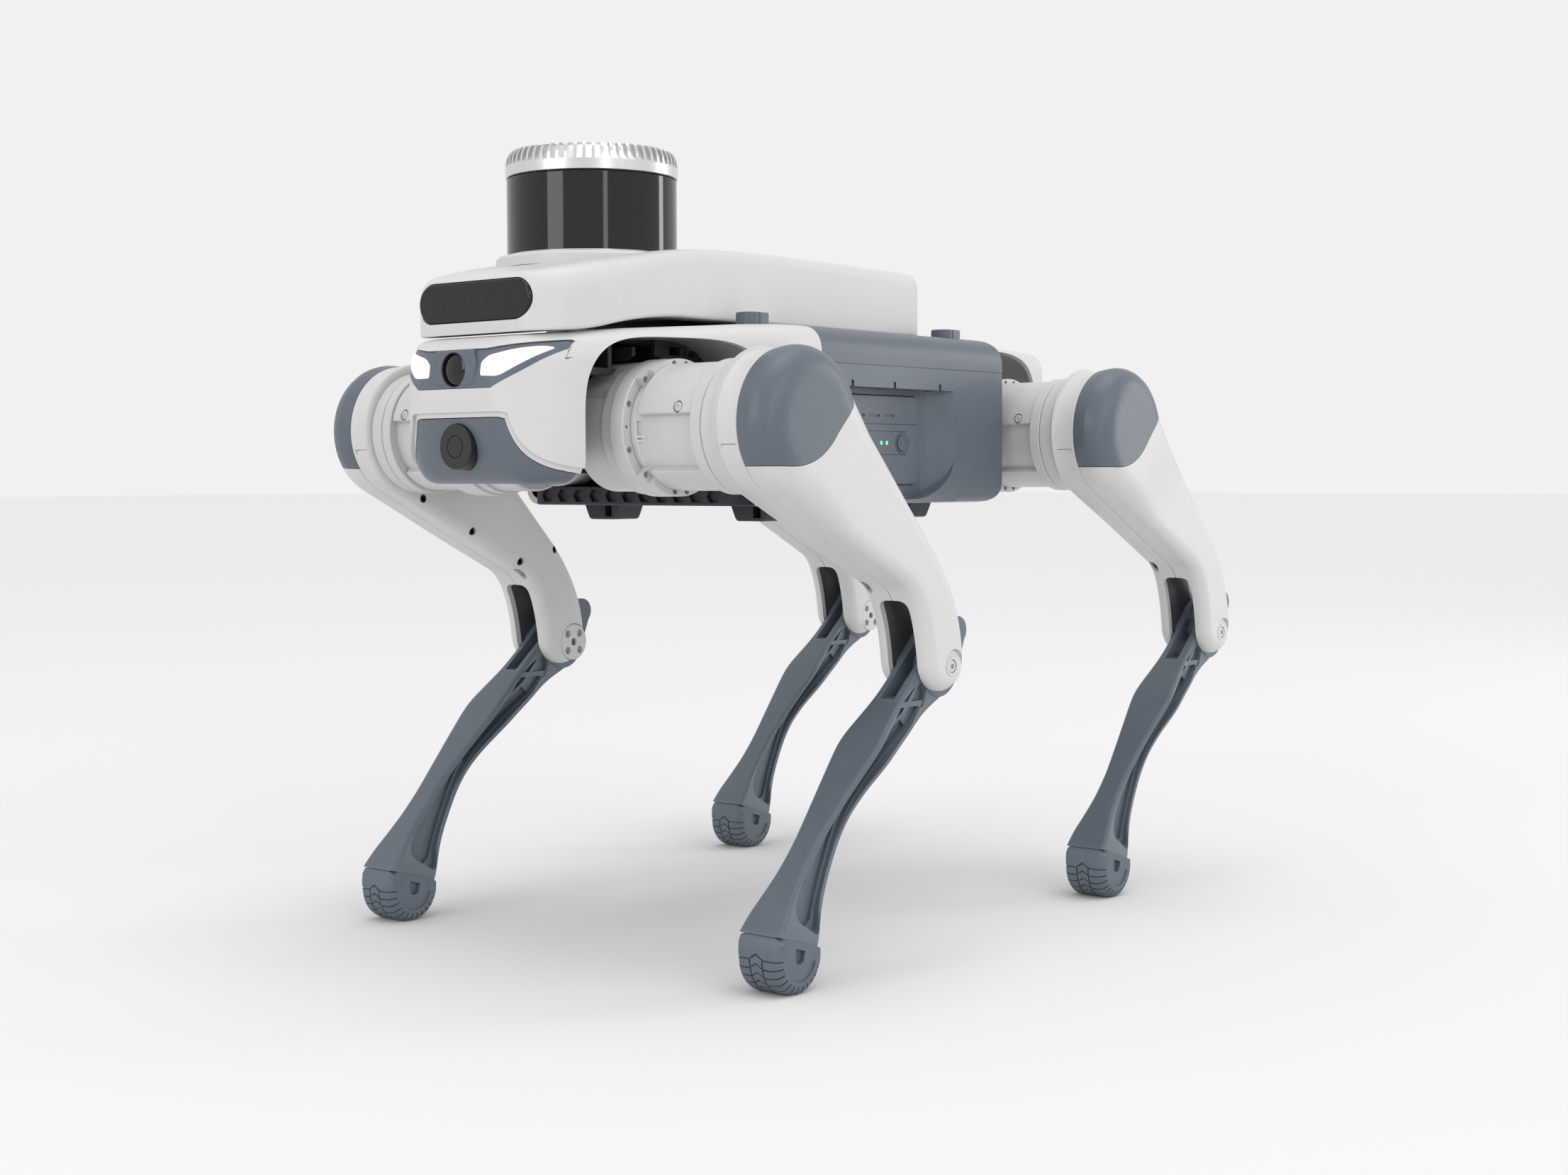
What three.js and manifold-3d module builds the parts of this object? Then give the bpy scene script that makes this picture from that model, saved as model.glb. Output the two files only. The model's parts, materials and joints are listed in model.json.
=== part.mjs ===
// Quadruped robot dog: a trunk with battery, sensor deck and lidar, carried on four legs.
// Each leg has a roll joint, a pitch joint and a knee driven by a push rod hidden in the thigh.
// Units are millimetres. +X is forward, +Y is the dog's left, +Z is up, and z = 0 is the ground.
import * as THREE from "three";
import { mergeVertices } from "three/addons/utils/BufferGeometryUtils.js";
import Module from "manifold-3d";

const wasm = await Module();
wasm.setup();

// Driving dimensions
const GAP = 0.3; // clearance between pieces that touch
const STAND_HEIGHT = 317; // hip axis above the ground in the standing pose
const HIP_X = 174.5; // hip axes ahead of and behind the trunk's middle
const ROLL_Y = 62; // roll axes beside the trunk's middle
const LEG_Y = 160.5; // middle plane of a thigh and shank
const THIGH_LENGTH = 200;
const SHANK_LENGTH = 210;
const THIGH_ANGLE = 225.8; // hip to knee, in degrees up from forward
const SHANK_ANGLE = 313.2; // knee to foot, in degrees up from forward
const CRANK_RADIUS = 28; // hip crank and knee lever of the push rod's parallelogram
const FOOT_RADIUS = 21.3;
const FOOT_HALF_WIDTH = 15.5;
const AXLE_RADIUS = 5;
const PIN_RADIUS = 3;
const THIGH_HALF_WIDTH = 20.2;
const HUB_HALF_WIDTH = 10.2; // shank between the thigh's cheeks
const WALL = 3;

const CAP_RADIUS = 43.6; // round top of the thigh
const CAP_CENTRE = [-1.8, 1];
const CAP_OUTER_Y = 185;
const RING_RADIUS = 38.5;
const CAN_RADIUS = 32;
const BOSS_RADIUS = 37;
const FLANGE_RADIUS = 40;
const ACTUATOR_RADIUS = 33; // roll actuators inside the trunk

const BAY_X = 130; // trunk's middle section ends where the hip bays begin
const BAY_RADIUS = 60; // round opening around a front hip
const REAR_BAY_RADIUS = 57;
const TRUNK_HALF_WIDTH = 107;
const TRUNK_TOP = 64;
const TRUNK_BOTTOM = -46;
const SPINE_HALF_WIDTH = 16;
const SEAM_X = 70; // where the white front shell meets the side housings
const HEAD_FRONT = 273;
const TAIL_X = -247;
const HOOD_HALF_WIDTH = 70;

const BATTERY_HALF_LENGTH = 46;
const BATTERY_Z = [-34, 23.5];
const BATTERY_FACE_Y = 96;
const BUTTON = { x: -28, z: -7, radius: 5.2 };
const LUG = { front: 106, rear: -99, y: 80.5, length: 18, width: 15, top: 70.5 };

const DECK = { rear: -95, front: 258, halfWidth: 63, bottom: 66, top: 109 };
const CAMERA_PILL = { halfLength: 46, halfHeight: 11.5, z: 72, front: 259 };
const LIDAR = { x: 159, radius: 52, seat: 103, windowTop: 150, top: 167 };
const EYE_CAMERA = { z: 32.5, radius: 9.5 };
const SONAR = { z: -11, radius: 13 };

const CIRCLE = 24; // sides of a large circle
const SMALL_CIRCLE = 12;

const radians = THREE.MathUtils.degToRad;
const KNEE = [
  THIGH_LENGTH * Math.cos(radians(THIGH_ANGLE)),
  THIGH_LENGTH * Math.sin(radians(THIGH_ANGLE)),
];
const SHANK_TURN = radians(360 - SHANK_ANGLE);
const CRANK_PIN = [-CRANK_RADIUS * Math.cos(SHANK_TURN), CRANK_RADIUS * Math.sin(SHANK_TURN)];

const MATERIALS = {
  white: { color: 0xe9e9e8, roughness: 0.5, metalness: 0 },
  slate: { color: 0x66707c, roughness: 0.5, metalness: 0 },
  dark: { color: 0x23272d, roughness: 0.6, metalness: 0 },
  rubber: { color: 0x5c6672, roughness: 0.85, metalness: 0 },
  black: { color: 0x060606, roughness: 0.08, metalness: 0 },
  silver: { color: 0xc9cbcc, roughness: 0.35, metalness: 0.9 },
  steel: { color: 0x8a8d90, roughness: 0.4, metalness: 0.9 },
  lamp: { color: 0xffffff, roughness: 0.4, metalness: 0 },
};

// Solids: geometry becomes a Manifold for cutting and joining.
function solid(geometry) {
  const bare = geometry.clone();
  for (const name of Object.keys(bare.attributes)) {
    if (name !== "position") bare.deleteAttribute(name);
  }
  const merged = mergeVertices(bare, 1e-4);
  return new wasm.Manifold(
    new wasm.Mesh({
      numProp: 3,
      vertProperties: new Float32Array(merged.attributes.position.array),
      triVerts: new Uint32Array(merged.index.array),
    }),
  );
}

function geometryOf(body) {
  const mesh = body.getMesh();
  const geometry = new THREE.BufferGeometry();
  geometry.setAttribute("position", new THREE.BufferAttribute(mesh.vertProperties, 3));
  geometry.setIndex(new THREE.BufferAttribute(mesh.triVerts, 1));
  geometry.computeVertexNormals();
  return geometry;
}

const join = (...bodies) => bodies.reduce((whole, body) => whole.add(body));
const cut = (body, ...tools) => tools.reduce((rest, tool) => rest.subtract(tool), body);

function extruded(points, depth) {
  const shape = new THREE.Shape(points.map(([a, b]) => new THREE.Vector2(a, b)));
  return new THREE.ExtrudeGeometry(shape, { depth, bevelEnabled: false });
}

// An outline drawn in x and z, standing between two widths.
function sidePlate(points, y0, y1) {
  return solid(extruded(points, y1 - y0).rotateX(Math.PI / 2).translate(0, y1, 0));
}

// An outline drawn in x and y, lying between two heights.
function planPlate(points, z0, z1) {
  return solid(extruded(points, z1 - z0).translate(0, 0, z0));
}

// An outline drawn in y and z, between two lengths.
function frontPlate(points, x0, x1) {
  const turn = new THREE.Matrix4().makeBasis(
    new THREE.Vector3(0, 1, 0),
    new THREE.Vector3(0, 0, 1),
    new THREE.Vector3(1, 0, 0),
  );
  return solid(extruded(points, x1 - x0).applyMatrix4(turn).translate(x0, 0, 0));
}

function box(x0, x1, y0, y1, z0, z1) {
  const block = new THREE.BoxGeometry(x1 - x0, y1 - y0, z1 - z0);
  return solid(block.translate((x0 + x1) / 2, (y0 + y1) / 2, (z0 + z1) / 2));
}

function discY([x, z], radius, y0, y1, sides = CIRCLE) {
  const disc = new THREE.CylinderGeometry(radius, radius, y1 - y0, sides);
  return solid(disc.translate(x, (y0 + y1) / 2, z));
}

function discX([y, z], radius, x0, x1, sides = CIRCLE) {
  const disc = new THREE.CylinderGeometry(radius, radius, x1 - x0, sides).rotateZ(Math.PI / 2);
  return solid(disc.translate((x0 + x1) / 2, y, z));
}

function discZ([x, y], radius, z0, z1, sides = CIRCLE) {
  const disc = new THREE.CylinderGeometry(radius, radius, z1 - z0, sides).rotateX(Math.PI / 2);
  return solid(disc.translate(x, y, (z0 + z1) / 2));
}

// Outlines are lists of [a, b] points.
function arc([a, b], radius, from, to, steps) {
  const points = [];
  for (let i = 0; i <= steps; i += 1) {
    const angle = radians(from + ((to - from) * i) / steps);
    points.push([a + radius * Math.cos(angle), b + radius * Math.sin(angle)]);
  }
  return points;
}

function bend(start, control, end, steps) {
  const points = [];
  for (let i = 0; i <= steps; i += 1) {
    const t = i / steps;
    const weights = [(1 - t) ** 2, 2 * t * (1 - t), t ** 2];
    points.push([0, 1].map((k) => weights[0] * start[k] + weights[1] * control[k] + weights[2] * end[k]));
  }
  return points;
}

// A polygon whose corners are rounded, each by its own radius.
function rounded(corners, steps = 3) {
  const points = [];
  corners.forEach(([a, b, radius = 0], i) => {
    if (!radius) {
      points.push([a, b]);
      return;
    }
    const before = corners.at(i - 1);
    const after = corners[(i + 1) % corners.length];
    const towards = ([p, q]) => {
      const length = Math.hypot(p - a, q - b);
      return [a + ((p - a) * radius) / length, b + ((q - b) * radius) / length];
    };
    points.push(...bend(towards(before), [a, b], towards(after), steps));
  });
  return points;
}

// Both halves of an outline that is symmetric about its first coordinate's axis.
const mirrored = (half) => [...half, ...half.map(([a, b]) => [a, -b]).reverse()];

// The same closed anticlockwise outline, every edge moved inwards by a distance.
function inset(points, distance) {
  const inward = ([a, b], [c, d]) => {
    const length = Math.hypot(c - a, d - b);
    return [-(d - b) / length, (c - a) / length];
  };
  return points.map((point, i) => {
    const before = inward(points.at(i - 1), point);
    const after = inward(point, points[(i + 1) % points.length]);
    const reach = distance / (1 + before[0] * after[0] + before[1] * after[1]);
    return [0, 1].map((k) => point[k] + reach * (before[k] + after[k]));
  });
}

function lathe(profile, sides = CIRCLE) {
  const points = profile.map(([r, h]) => new THREE.Vector2(r, h));
  return solid(new THREE.LatheGeometry(points, sides));
}

// Thigh: the side outline about the hip axis, anticlockwise from the underside.
function thighOutline() {
  const kneeEnd = [-133.2, -138.6];
  const kneeEndRadius = 19.6;
  return [
    ...arc(CAP_CENTRE, CAP_RADIUS, -62, 158, 14),
    [-57.5, -2.6],
    ...bend([-124.3, -74.1], [-152, -106], [-152.8, -138.6], 4),
    ...arc(kneeEnd, kneeEndRadius, 180, 364, 8).slice(1),
    ...bend([-109, -113], [-104, -98.3], [-92, -92.2], 2),
  ];
}

const CAP_EDGE = [
  [70, -22.5],
  ...bend([34, -22.5], [8, -24], [-10, -5.5], 3),
  [-37, 13],
  [-70, 35],
];

// The part of a side view above the cap's lower edge, lowered by a margin.
function capRegion(margin) {
  return [...CAP_EDGE.map(([x, z]) => [x, z - margin]), [-70, 70], [70, 70]].reverse();
}

// Domed outer end of the thigh's round top.
function dome(shrink) {
  const rim = CAP_RADIUS + 0.9 - shrink;
  const top = CAP_OUTER_Y - shrink;
  const profile = [
    [0, 160],
    [rim - 4, 160],
    [rim - 0.5, 165],
    [rim, 170],
    [rim - 2, 176],
    [rim - 7, 181.2 - shrink],
    [rim - 15, top - 0.8],
    [0, top],
  ];
  return lathe(profile, CIRCLE).translate([CAP_CENTRE[0], 0, CAP_CENTRE[1]]);
}

// Everything past a line across the thigh, where the shank's hub runs between the cheeks.
function kneeSlot(y0, y1) {
  const across = 138;
  const slot = new THREE.BoxGeometry(120, y1 - y0, 160).translate(across + 60, (y0 + y1) / 2, 0);
  return solid(slot.rotateY(-radians(THIGH_ANGLE)));
}

function thighInner() {
  const outline = thighOutline();
  const shell = join(
    sidePlate(outline, LEG_Y - THIGH_HALF_WIDTH, LEG_Y - GAP / 2),
    discY([0, 0], RING_RADIUS, 132.8, LEG_Y - THIGH_HALF_WIDTH + 1),
  );
  const hollow = cut(
    sidePlate(inset(outline, WALL), LEG_Y - THIGH_HALF_WIDTH + WALL, LEG_Y + 1),
    kneeSlot(LEG_Y - THIGH_HALF_WIDTH, LEG_Y + 2),
  );
  return cut(
    shell,
    hollow,
    kneeSlot(LEG_Y - HUB_HALF_WIDTH - 0.4, LEG_Y + 1),
    discY(KNEE, AXLE_RADIUS + GAP, LEG_Y - THIGH_HALF_WIDTH + 1.6, LEG_Y, SMALL_CIRCLE),
  );
}

function thighOuter() {
  const outline = thighOutline();
  const shell = join(
    sidePlate(outline, LEG_Y + GAP / 2, LEG_Y + THIGH_HALF_WIDTH),
    dome(0).intersect(box(-70, 70, LEG_Y + GAP / 2, 200, -70, 70)),
  );
  const capSeat = sidePlate(capRegion(GAP), 176, 200);
  const capRim = cut(sidePlate(capRegion(GAP), LEG_Y - 1, 200), discY([0, 0], 37.5, 150, 210));
  const hollow = cut(
    sidePlate(inset(outline, WALL), LEG_Y - 1, LEG_Y + THIGH_HALF_WIDTH - WALL),
    kneeSlot(LEG_Y - 2, LEG_Y + THIGH_HALF_WIDTH),
    discY([0, 0], 39, 167, 200),
  );
  return cut(
    shell,
    capSeat,
    capRim,
    hollow,
    kneeSlot(LEG_Y - 1, LEG_Y + HUB_HALF_WIDTH + 0.4),
    discY(KNEE, AXLE_RADIUS + GAP, LEG_Y, LEG_Y + THIGH_HALF_WIDTH - 1.6, SMALL_CIRCLE),
  );
}

function hipCap() {
  const body = dome(0).intersect(sidePlate(capRegion(0), LEG_Y + GAP / 2, 200));
  return cut(body, discY([0, 0], 37.5 + GAP, 150, 176 + GAP));
}

// Hip bracket: turns on the roll actuator and holds the pitch actuator's flange.
function hipBracket(rollSide) {
  const barrel = discY([0, 0], BOSS_RADIUS, 34, 58);
  const flange = join(
    discY([0, 0], RING_RADIUS, 57.6, 65.4),
    discY([0, 0], FLANGE_RADIUS, 65.4, 75.8),
  );
  const hubEnd = HIP_X - BAY_X - GAP;
  const hub = discX([ROLL_Y, 0], 15, -hubEnd, -38, SMALL_CIRCLE);
  const turned = rollSide > 0 ? hub : hub.mirror([1, 0, 0]);
  return join(barrel, flange, turned);
}

// Pitch actuator: a can with raised bosses and the output ring that the thigh turns on.
function thighActuator() {
  const can = discY([0, 0], CAN_RADIUS, 76.1, 125);
  const ring = discY([0, 0], RING_RADIUS, 124.5, 132.5);
  const sector = (from, to) => [
    [0, 0],
    ...arc([0, 0], BOSS_RADIUS, from, to, 3),
  ];
  const bosses = [
    [22, 86],
    [110, 172],
    [200, 250],
    [292, 338],
  ].map(([from, to]) => sidePlate(sector(from, to), 82, 125));
  return join(can, ring, ...bosses);
}

function kneeCrank() {
  const plate = (radius, centre) => discY(centre, radius, 151.5, 156.6, SMALL_CIRCLE);
  const half = CRANK_PIN.map((value) => value / 2);
  return join(
    plate(11, [0, 0]),
    plate(8.5, half),
    plate(6.5, CRANK_PIN),
    discY([0, 0], 8, 145.5, 156.6, SMALL_CIRCLE),
    discY(CRANK_PIN, PIN_RADIUS, 151.5, 165, SMALL_CIRCLE),
  );
}

function pushRod() {
  const half = 3;
  const width = 3.5;
  const bar = new THREE.BoxGeometry(THIGH_LENGTH - 8, 2 * half, 2 * width)
    .translate(THIGH_LENGTH / 2, LEG_Y, 0)
    .rotateY(-radians(THIGH_ANGLE))
    .translate(CRANK_PIN[0], 0, CRANK_PIN[1]);
  const far = [CRANK_PIN[0] + KNEE[0], CRANK_PIN[1] + KNEE[1]];
  const eye = (centre) => discY(centre, 6.5, LEG_Y - half, LEG_Y + half, SMALL_CIRCLE);
  const bore = (centre) => discY(centre, PIN_RADIUS + GAP, 150, 170, SMALL_CIRCLE);
  return cut(join(solid(bar), eye(CRANK_PIN), eye(far)), bore(CRANK_PIN), bore(far));
}

const kneeAxle = () => discY(KNEE, AXLE_RADIUS, 142.4, 178.6, SMALL_CIRCLE);

// Shank, drawn along its own length from the knee, with its front edge up.
const SHANK_CUT = [
  [211.8, 23.5],
  [193.6, -14.6],
];

function shank() {
  const outline = [
    [0, -19],
    [14, -16.5],
    [30, -9.2],
    ...bend([60, 0.3], [108, 17], [176, -6.2], 5),
    [SHANK_CUT[1][0] - GAP, SHANK_CUT[1][1]],
    [SHANK_CUT[0][0] - GAP, SHANK_CUT[0][1]],
    [190, 25],
    [110, 24.8],
    [70, 22.8],
    [36, 17],
    [0, 15],
  ];
  const half = [
    [-45, HUB_HALF_WIDTH],
    [36, HUB_HALF_WIDTH],
    [80, 15.7],
    [128, 10.6],
    [160, 9],
    [182, 10.8],
    [204, 15.2],
    [220, 15.5],
  ];
  const side = sidePlate(outline, -20, 20);
  const front = planPlate(mirrored(half).reverse(), -60, 60);
  const hub = join(
    discY([0, 0], 19, -HUB_HALF_WIDTH, HUB_HALF_WIDTH),
    discY([-14, 0], 12.5, -HUB_HALF_WIDTH, HUB_HALF_WIDTH, SMALL_CIRCLE),
    discY([-CRANK_RADIUS, 0], 9, -HUB_HALF_WIDTH, HUB_HALF_WIDTH, SMALL_CIRCLE),
  );
  const rodSlot = cut(
    box(-50, 26, -4.6, 4.6, -40, 40),
    discY([0, 0], AXLE_RADIUS + 3.6, -6, 6, SMALL_CIRCLE),
    discY([-CRANK_RADIUS, 0], PIN_RADIUS, -6, 6, SMALL_CIRCLE),
    box(10, 30, -6, 6, -40, 6),
  );
  const pocket = rounded([
    [104, 20, 2],
    [104, 15, 2],
    [140, 13, 8],
    [176, 2, 6],
    [190, -4, 5],
    [190, 18, 5],
  ].reverse());
  const sides = [
    [3.5, 30],
    [-30, -3.5],
  ];
  const pockets = sides.map(([y0, y1]) => sidePlate(pocket, y0, y1));
  return cut(
    join(side.intersect(front), hub),
    rodSlot,
    discY([0, 0], AXLE_RADIUS + GAP, -20, 20, SMALL_CIRCLE),
    ...pockets,
  );
}

// Foot: a rubber wheel-like block, flat on top where the shank ends and flat where it stands.
function foot() {
  const shoulder = 5;
  const profile = [
    [0, -FOOT_HALF_WIDTH],
    [FOOT_RADIUS - shoulder, -FOOT_HALF_WIDTH],
    [FOOT_RADIUS - 1.5, -FOOT_HALF_WIDTH + 3],
    [FOOT_RADIUS, -FOOT_HALF_WIDTH + 8],
    [FOOT_RADIUS, FOOT_HALF_WIDTH - 8],
    [FOOT_RADIUS - 1.5, FOOT_HALF_WIDTH - 3],
    [FOOT_RADIUS - shoulder, FOOT_HALF_WIDTH],
    [0, FOOT_HALF_WIDTH],
  ];
  const [front, rear] = SHANK_CUT;
  const slope = [(front[0] - rear[0]) / 2, (front[1] - rear[1]) / 2];
  const above = [
    [rear[0] - slope[0], rear[1] - slope[1]],
    [front[0] + slope[0], front[1] + slope[1]],
    [150, 60],
    [150, -60],
  ];
  const wheel = lathe(profile, CIRCLE).translate([SHANK_LENGTH, 0, 0]);
  const centreHeight = STAND_HEIGHT + KNEE[1] - SHANK_LENGTH * Math.sin(SHANK_TURN);
  const ground = new THREE.BoxGeometry(80, 80, 40)
    .translate(0, 0, -centreHeight - 20)
    .rotateY(-SHANK_TURN)
    .translate(SHANK_LENGTH, 0, 0);
  return cut(wheel, sidePlate(above, -30, 30), solid(ground));
}

// Trunk shells, in the trunk's frame: origin midway between the hips at hip height.
const FRONT_PLAN = mirrored([
  [SEAM_X, TRUNK_HALF_WIDTH],
  [104, 106],
  [125, 100],
  [180, 84],
  [234, 66],
  [262, 50],
  [269, 38],
  [HEAD_FRONT, 28],
]).reverse();

const FRONT_SIDE = rounded([
  [SEAM_X, TRUNK_BOTTOM],
  [BAY_X - 2, TRUNK_BOTTOM],
  [BAY_X - 2, -34],
  [236, -34],
  [262, -33.5],
  [270, -12],
  [HEAD_FRONT, 20],
  [271, 38],
  [263, 50],
  [200, 57],
  [130, 62],
  [SEAM_X, TRUNK_TOP],
]);

// Rounds the shells' upper and lower edges, seen from the front.
function trunkSection(halfWidth, top, bottom) {
  return rounded([
    [-halfWidth, bottom, 12],
    [halfWidth, bottom, 12],
    [halfWidth, top, 18],
    [-halfWidth, top, 18],
  ]);
}

function frontBody(shrink) {
  const plan = planPlate(inset(FRONT_PLAN, shrink), -80, 80);
  const side = sidePlate(inset(FRONT_SIDE, shrink), -120, 120);
  return plan.intersect(side).intersect(
    frontPlate(inset(trunkSection(TRUNK_HALF_WIDTH, TRUNK_TOP, TRUNK_BOTTOM), shrink), 0, 300),
  );
}

// Side-view opening around a hip, open at the bottom.
function bayOutline(centre, radius, top) {
  return [
    [centre + radius, -90],
    ...arc([centre, 0], radius, 0, 180, 14).map(([x, z]) => [x, Math.min(z, top)]),
    [centre - radius, -90],
  ];
}

function bays(centre, radius, top) {
  const outline = bayOutline(centre, radius, top);
  const side = (y0, y1) => sidePlate(outline, y0, y1);
  return [side(SPINE_HALF_WIDTH + 4, 150), side(-150, -SPINE_HALF_WIDTH - 4)];
}

const CHIN_EDGE = [
  [0, 5],
  [32, 5],
  ...bend([36, -1], [44, -19], [58, -26], 4),
  [80, -28],
];

// Front-view region of the chin cover, its edge raised by a margin.
function chinRegion(margin) {
  const half = CHIN_EDGE.map(([y, z]) => [y + margin, z + margin]);
  const left = half.slice(1);
  return [
    ...left.map(([y, z]) => [-y, z]),
    [-80, -60],
    [80, -60],
    ...left.reverse(),
  ];
}

// Front-view region of the visor band, grown by a margin.
function visorRegion(margin) {
  const half = [
    [30, 22 - margin],
    [46, 31 - margin],
    [60 + margin, 43 - margin],
    [60 + margin, 47 + margin],
    [44, 46.5 + margin],
    [24, 44 + margin],
  ];
  return [...half, ...half.map(([y, z]) => [-y, z]).reverse()];
}

function eyeRegion(margin) {
  const half = [
    [20, 29],
    [34, 28],
    [46, 35.5],
    [55, 42],
    [50, 43.5],
    [24, 40],
  ];
  return inset(half, -margin);
}

const VISOR_DEPTH = 6;

function frontShell() {
  const shell = cut(
    frontBody(0),
    frontBody(WALL),
    box(SEAM_X - 2, SEAM_X + 4, -103.5, 103.5, -43, 61),
    box(SEAM_X - 2, BAY_X, -90, 90, -60, -40),
  );
  const hipBays = bays(HIP_X, BAY_RADIUS, 55);
  const lug = (side) =>
    box(
      LUG.front - LUG.length / 2 - GAP,
      LUG.front + LUG.length / 2 + GAP,
      side * LUG.y - LUG.width / 2 - GAP,
      side * LUG.y + LUG.width / 2 + GAP,
      50,
      80,
    );
  return cut(
    shell,
    ...hipBays,
    frontPlate(chinRegion(GAP), 215, 300),
    box(215, 300, -80, 80, -60, -30),
    frontPlate(visorRegion(GAP), 236, 300),
    lug(1),
    lug(-1),
    box(BAY_X - 20, 236, -SPINE_HALF_WIDTH - 4.5, SPINE_HALF_WIDTH + 4.5, -60, -20),
  );
}

function visor() {
  const skin = cut(frontBody(0.6), frontBody(VISOR_DEPTH));
  const band = skin.intersect(frontPlate(visorRegion(0), 238, 300));
  const lens = discX([0, EYE_CAMERA.z], EYE_CAMERA.radius + GAP, 200, 300, 24);
  const eye = eyeRegion(GAP);
  const other = eye.map(([y, z]) => [-y, z]).reverse();
  return cut(band, lens, frontPlate(eye, 220, 300), frontPlate(other, 220, 300));
}

function eyeLight(side) {
  const outline = side > 0 ? eyeRegion(0) : eyeRegion(0).map(([y, z]) => [-y, z]).reverse();
  const skin = cut(frontBody(0.3), frontBody(VISOR_DEPTH));
  return skin.intersect(frontPlate(outline, 238, 300));
}

function chinCover() {
  const skin = cut(frontBody(1.2), frontBody(1.2 + WALL));
  const body = skin.intersect(frontPlate(chinRegion(0), 216, 300));
  return cut(
    body,
    ...bays(HIP_X, BAY_RADIUS + 2, 55),
    box(200, 244, -SPINE_HALF_WIDTH - 4, SPINE_HALF_WIDTH + 4, -60, -20),
    discX([0, SONAR.z], SONAR.radius + GAP, 240, 300, 24),
  );
}

const frontCamera = () =>
  join(
    discX([0, EYE_CAMERA.z], EYE_CAMERA.radius, 262, 272.4, 24),
    discX([0, EYE_CAMERA.z], 5, 250, 263, SMALL_CIRCLE),
  );

const sonarDisc = () =>
  join(
    discX([0, SONAR.z], SONAR.radius, 264, 272.4, 24),
    discX([0, SONAR.z], 6, 250, 265, SMALL_CIRCLE),
  );

function rearShell() {
  const half = [
    [-BAY_X - GAP, 101],
    [-138, 88],
    [-150, 76],
    [-170, HOOD_HALF_WIDTH + 2],
    [-236, HOOD_HALF_WIDTH],
    [TAIL_X, 58],
  ];
  const outline = rounded([
    [-BAY_X - GAP, -34],
    [-BAY_X - GAP, TRUNK_TOP],
    [-190, 63],
    [-240, 61, 6],
    [TAIL_X, 40],
    [TAIL_X, -20],
    [-238, -34, 6],
  ]);
  const body = (shrink) =>
    planPlate(inset(mirrored(half), shrink), -80, 80)
      .intersect(sidePlate(inset(outline, shrink), -120, 120))
      .intersect(frontPlate(inset(trunkSection(101, TRUNK_TOP, -60), shrink), -300, 0));
  return cut(
    body(0),
    body(WALL),
    box(-BAY_X - 4, -BAY_X + 4, -92, 92, -60, 58),
    ...bays(-HIP_X, REAR_BAY_RADIUS, 56),
    box(-234, -BAY_X, -SPINE_HALF_WIDTH - 4.5, SPINE_HALF_WIDTH + 4.5, -60, -24),
  );
}

// Side housing: a shell with rounded edges and a recessed bay for the battery's end.
function sideHousing() {
  const section = trunkSection(TRUNK_HALF_WIDTH, TRUNK_TOP, TRUNK_BOTTOM);
  const outline = rounded([
    [-BAY_X, TRUNK_BOTTOM, 15],
    [SEAM_X - GAP, TRUNK_BOTTOM],
    [SEAM_X - GAP, TRUNK_TOP],
    [-BAY_X, TRUNK_TOP, 16],
  ]);
  const skin = (shrink) =>
    frontPlate(inset(section, shrink), -BAY_X - 1, SEAM_X + 1).intersect(
      sidePlate(inset(outline, shrink), -120, 120),
    );
  const frontOpening = box(40, SEAM_X, -104, 104, -43, 61);
  const rearOpening = box(-BAY_X - 1, -80, -96, 96, -39, 39);
  const hollow = join(skin(WALL), frontOpening, rearOpening);
  const shell = cut(skin(0), hollow, box(-140, 90, -120, 62, -80, 80), box(-140, 90, 60, 89, -80, 0));
  const lug = box(
    LUG.rear - LUG.length / 2 - GAP,
    LUG.rear + LUG.length / 2 + GAP,
    LUG.y - LUG.width / 2 - GAP,
    LUG.y + LUG.width / 2 + GAP,
    50,
    80,
  );
  const recess = planPlate(
    [
      [-52, 94],
      [56, 94],
      [56, 120],
      [-73, 120],
      [-73, TRUNK_HALF_WIDTH],
    ],
    -44,
    27.5,
  );
  const backing = planPlate(
    [
      [-56, 91],
      [60, 91],
      [60, TRUNK_HALF_WIDTH - 1],
      [-76, TRUNK_HALF_WIDTH - 1],
    ],
    -45,
    30.5,
  );
  const hole = box(
    -BATTERY_HALF_LENGTH - GAP,
    BATTERY_HALF_LENGTH + GAP,
    80,
    120,
    BATTERY_Z[0] - GAP,
    BATTERY_Z[1] + GAP,
  );
  return cut(join(shell, backing), recess, hole, lug);
}

function sideCoverRight() {
  const reach = BATTERY_HALF_LENGTH + 1;
  const panel = box(-reach, reach, 91.2, 95.5, BATTERY_Z[0] - 1, BATTERY_Z[1] + 1);
  return join(sideHousing(), panel).mirror([0, 1, 0]);
}

function batteryPack() {
  const reach = BATTERY_HALF_LENGTH;
  const block = box(-reach, reach, -72, BATTERY_FACE_Y, BATTERY_Z[0], BATTERY_Z[1]);
  const floor = BATTERY_FACE_Y - 3.2;
  const buttonWell = discY([BUTTON.x, BUTTON.z], BUTTON.radius + GAP, floor, 120, SMALL_CIRCLE);
  return cut(block, buttonWell);
}

const powerButton = () =>
  discY([BUTTON.x, BUTTON.z], BUTTON.radius, BATTERY_FACE_Y - 1.9, BATTERY_FACE_Y + 1.2, SMALL_CIRCLE);

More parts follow.
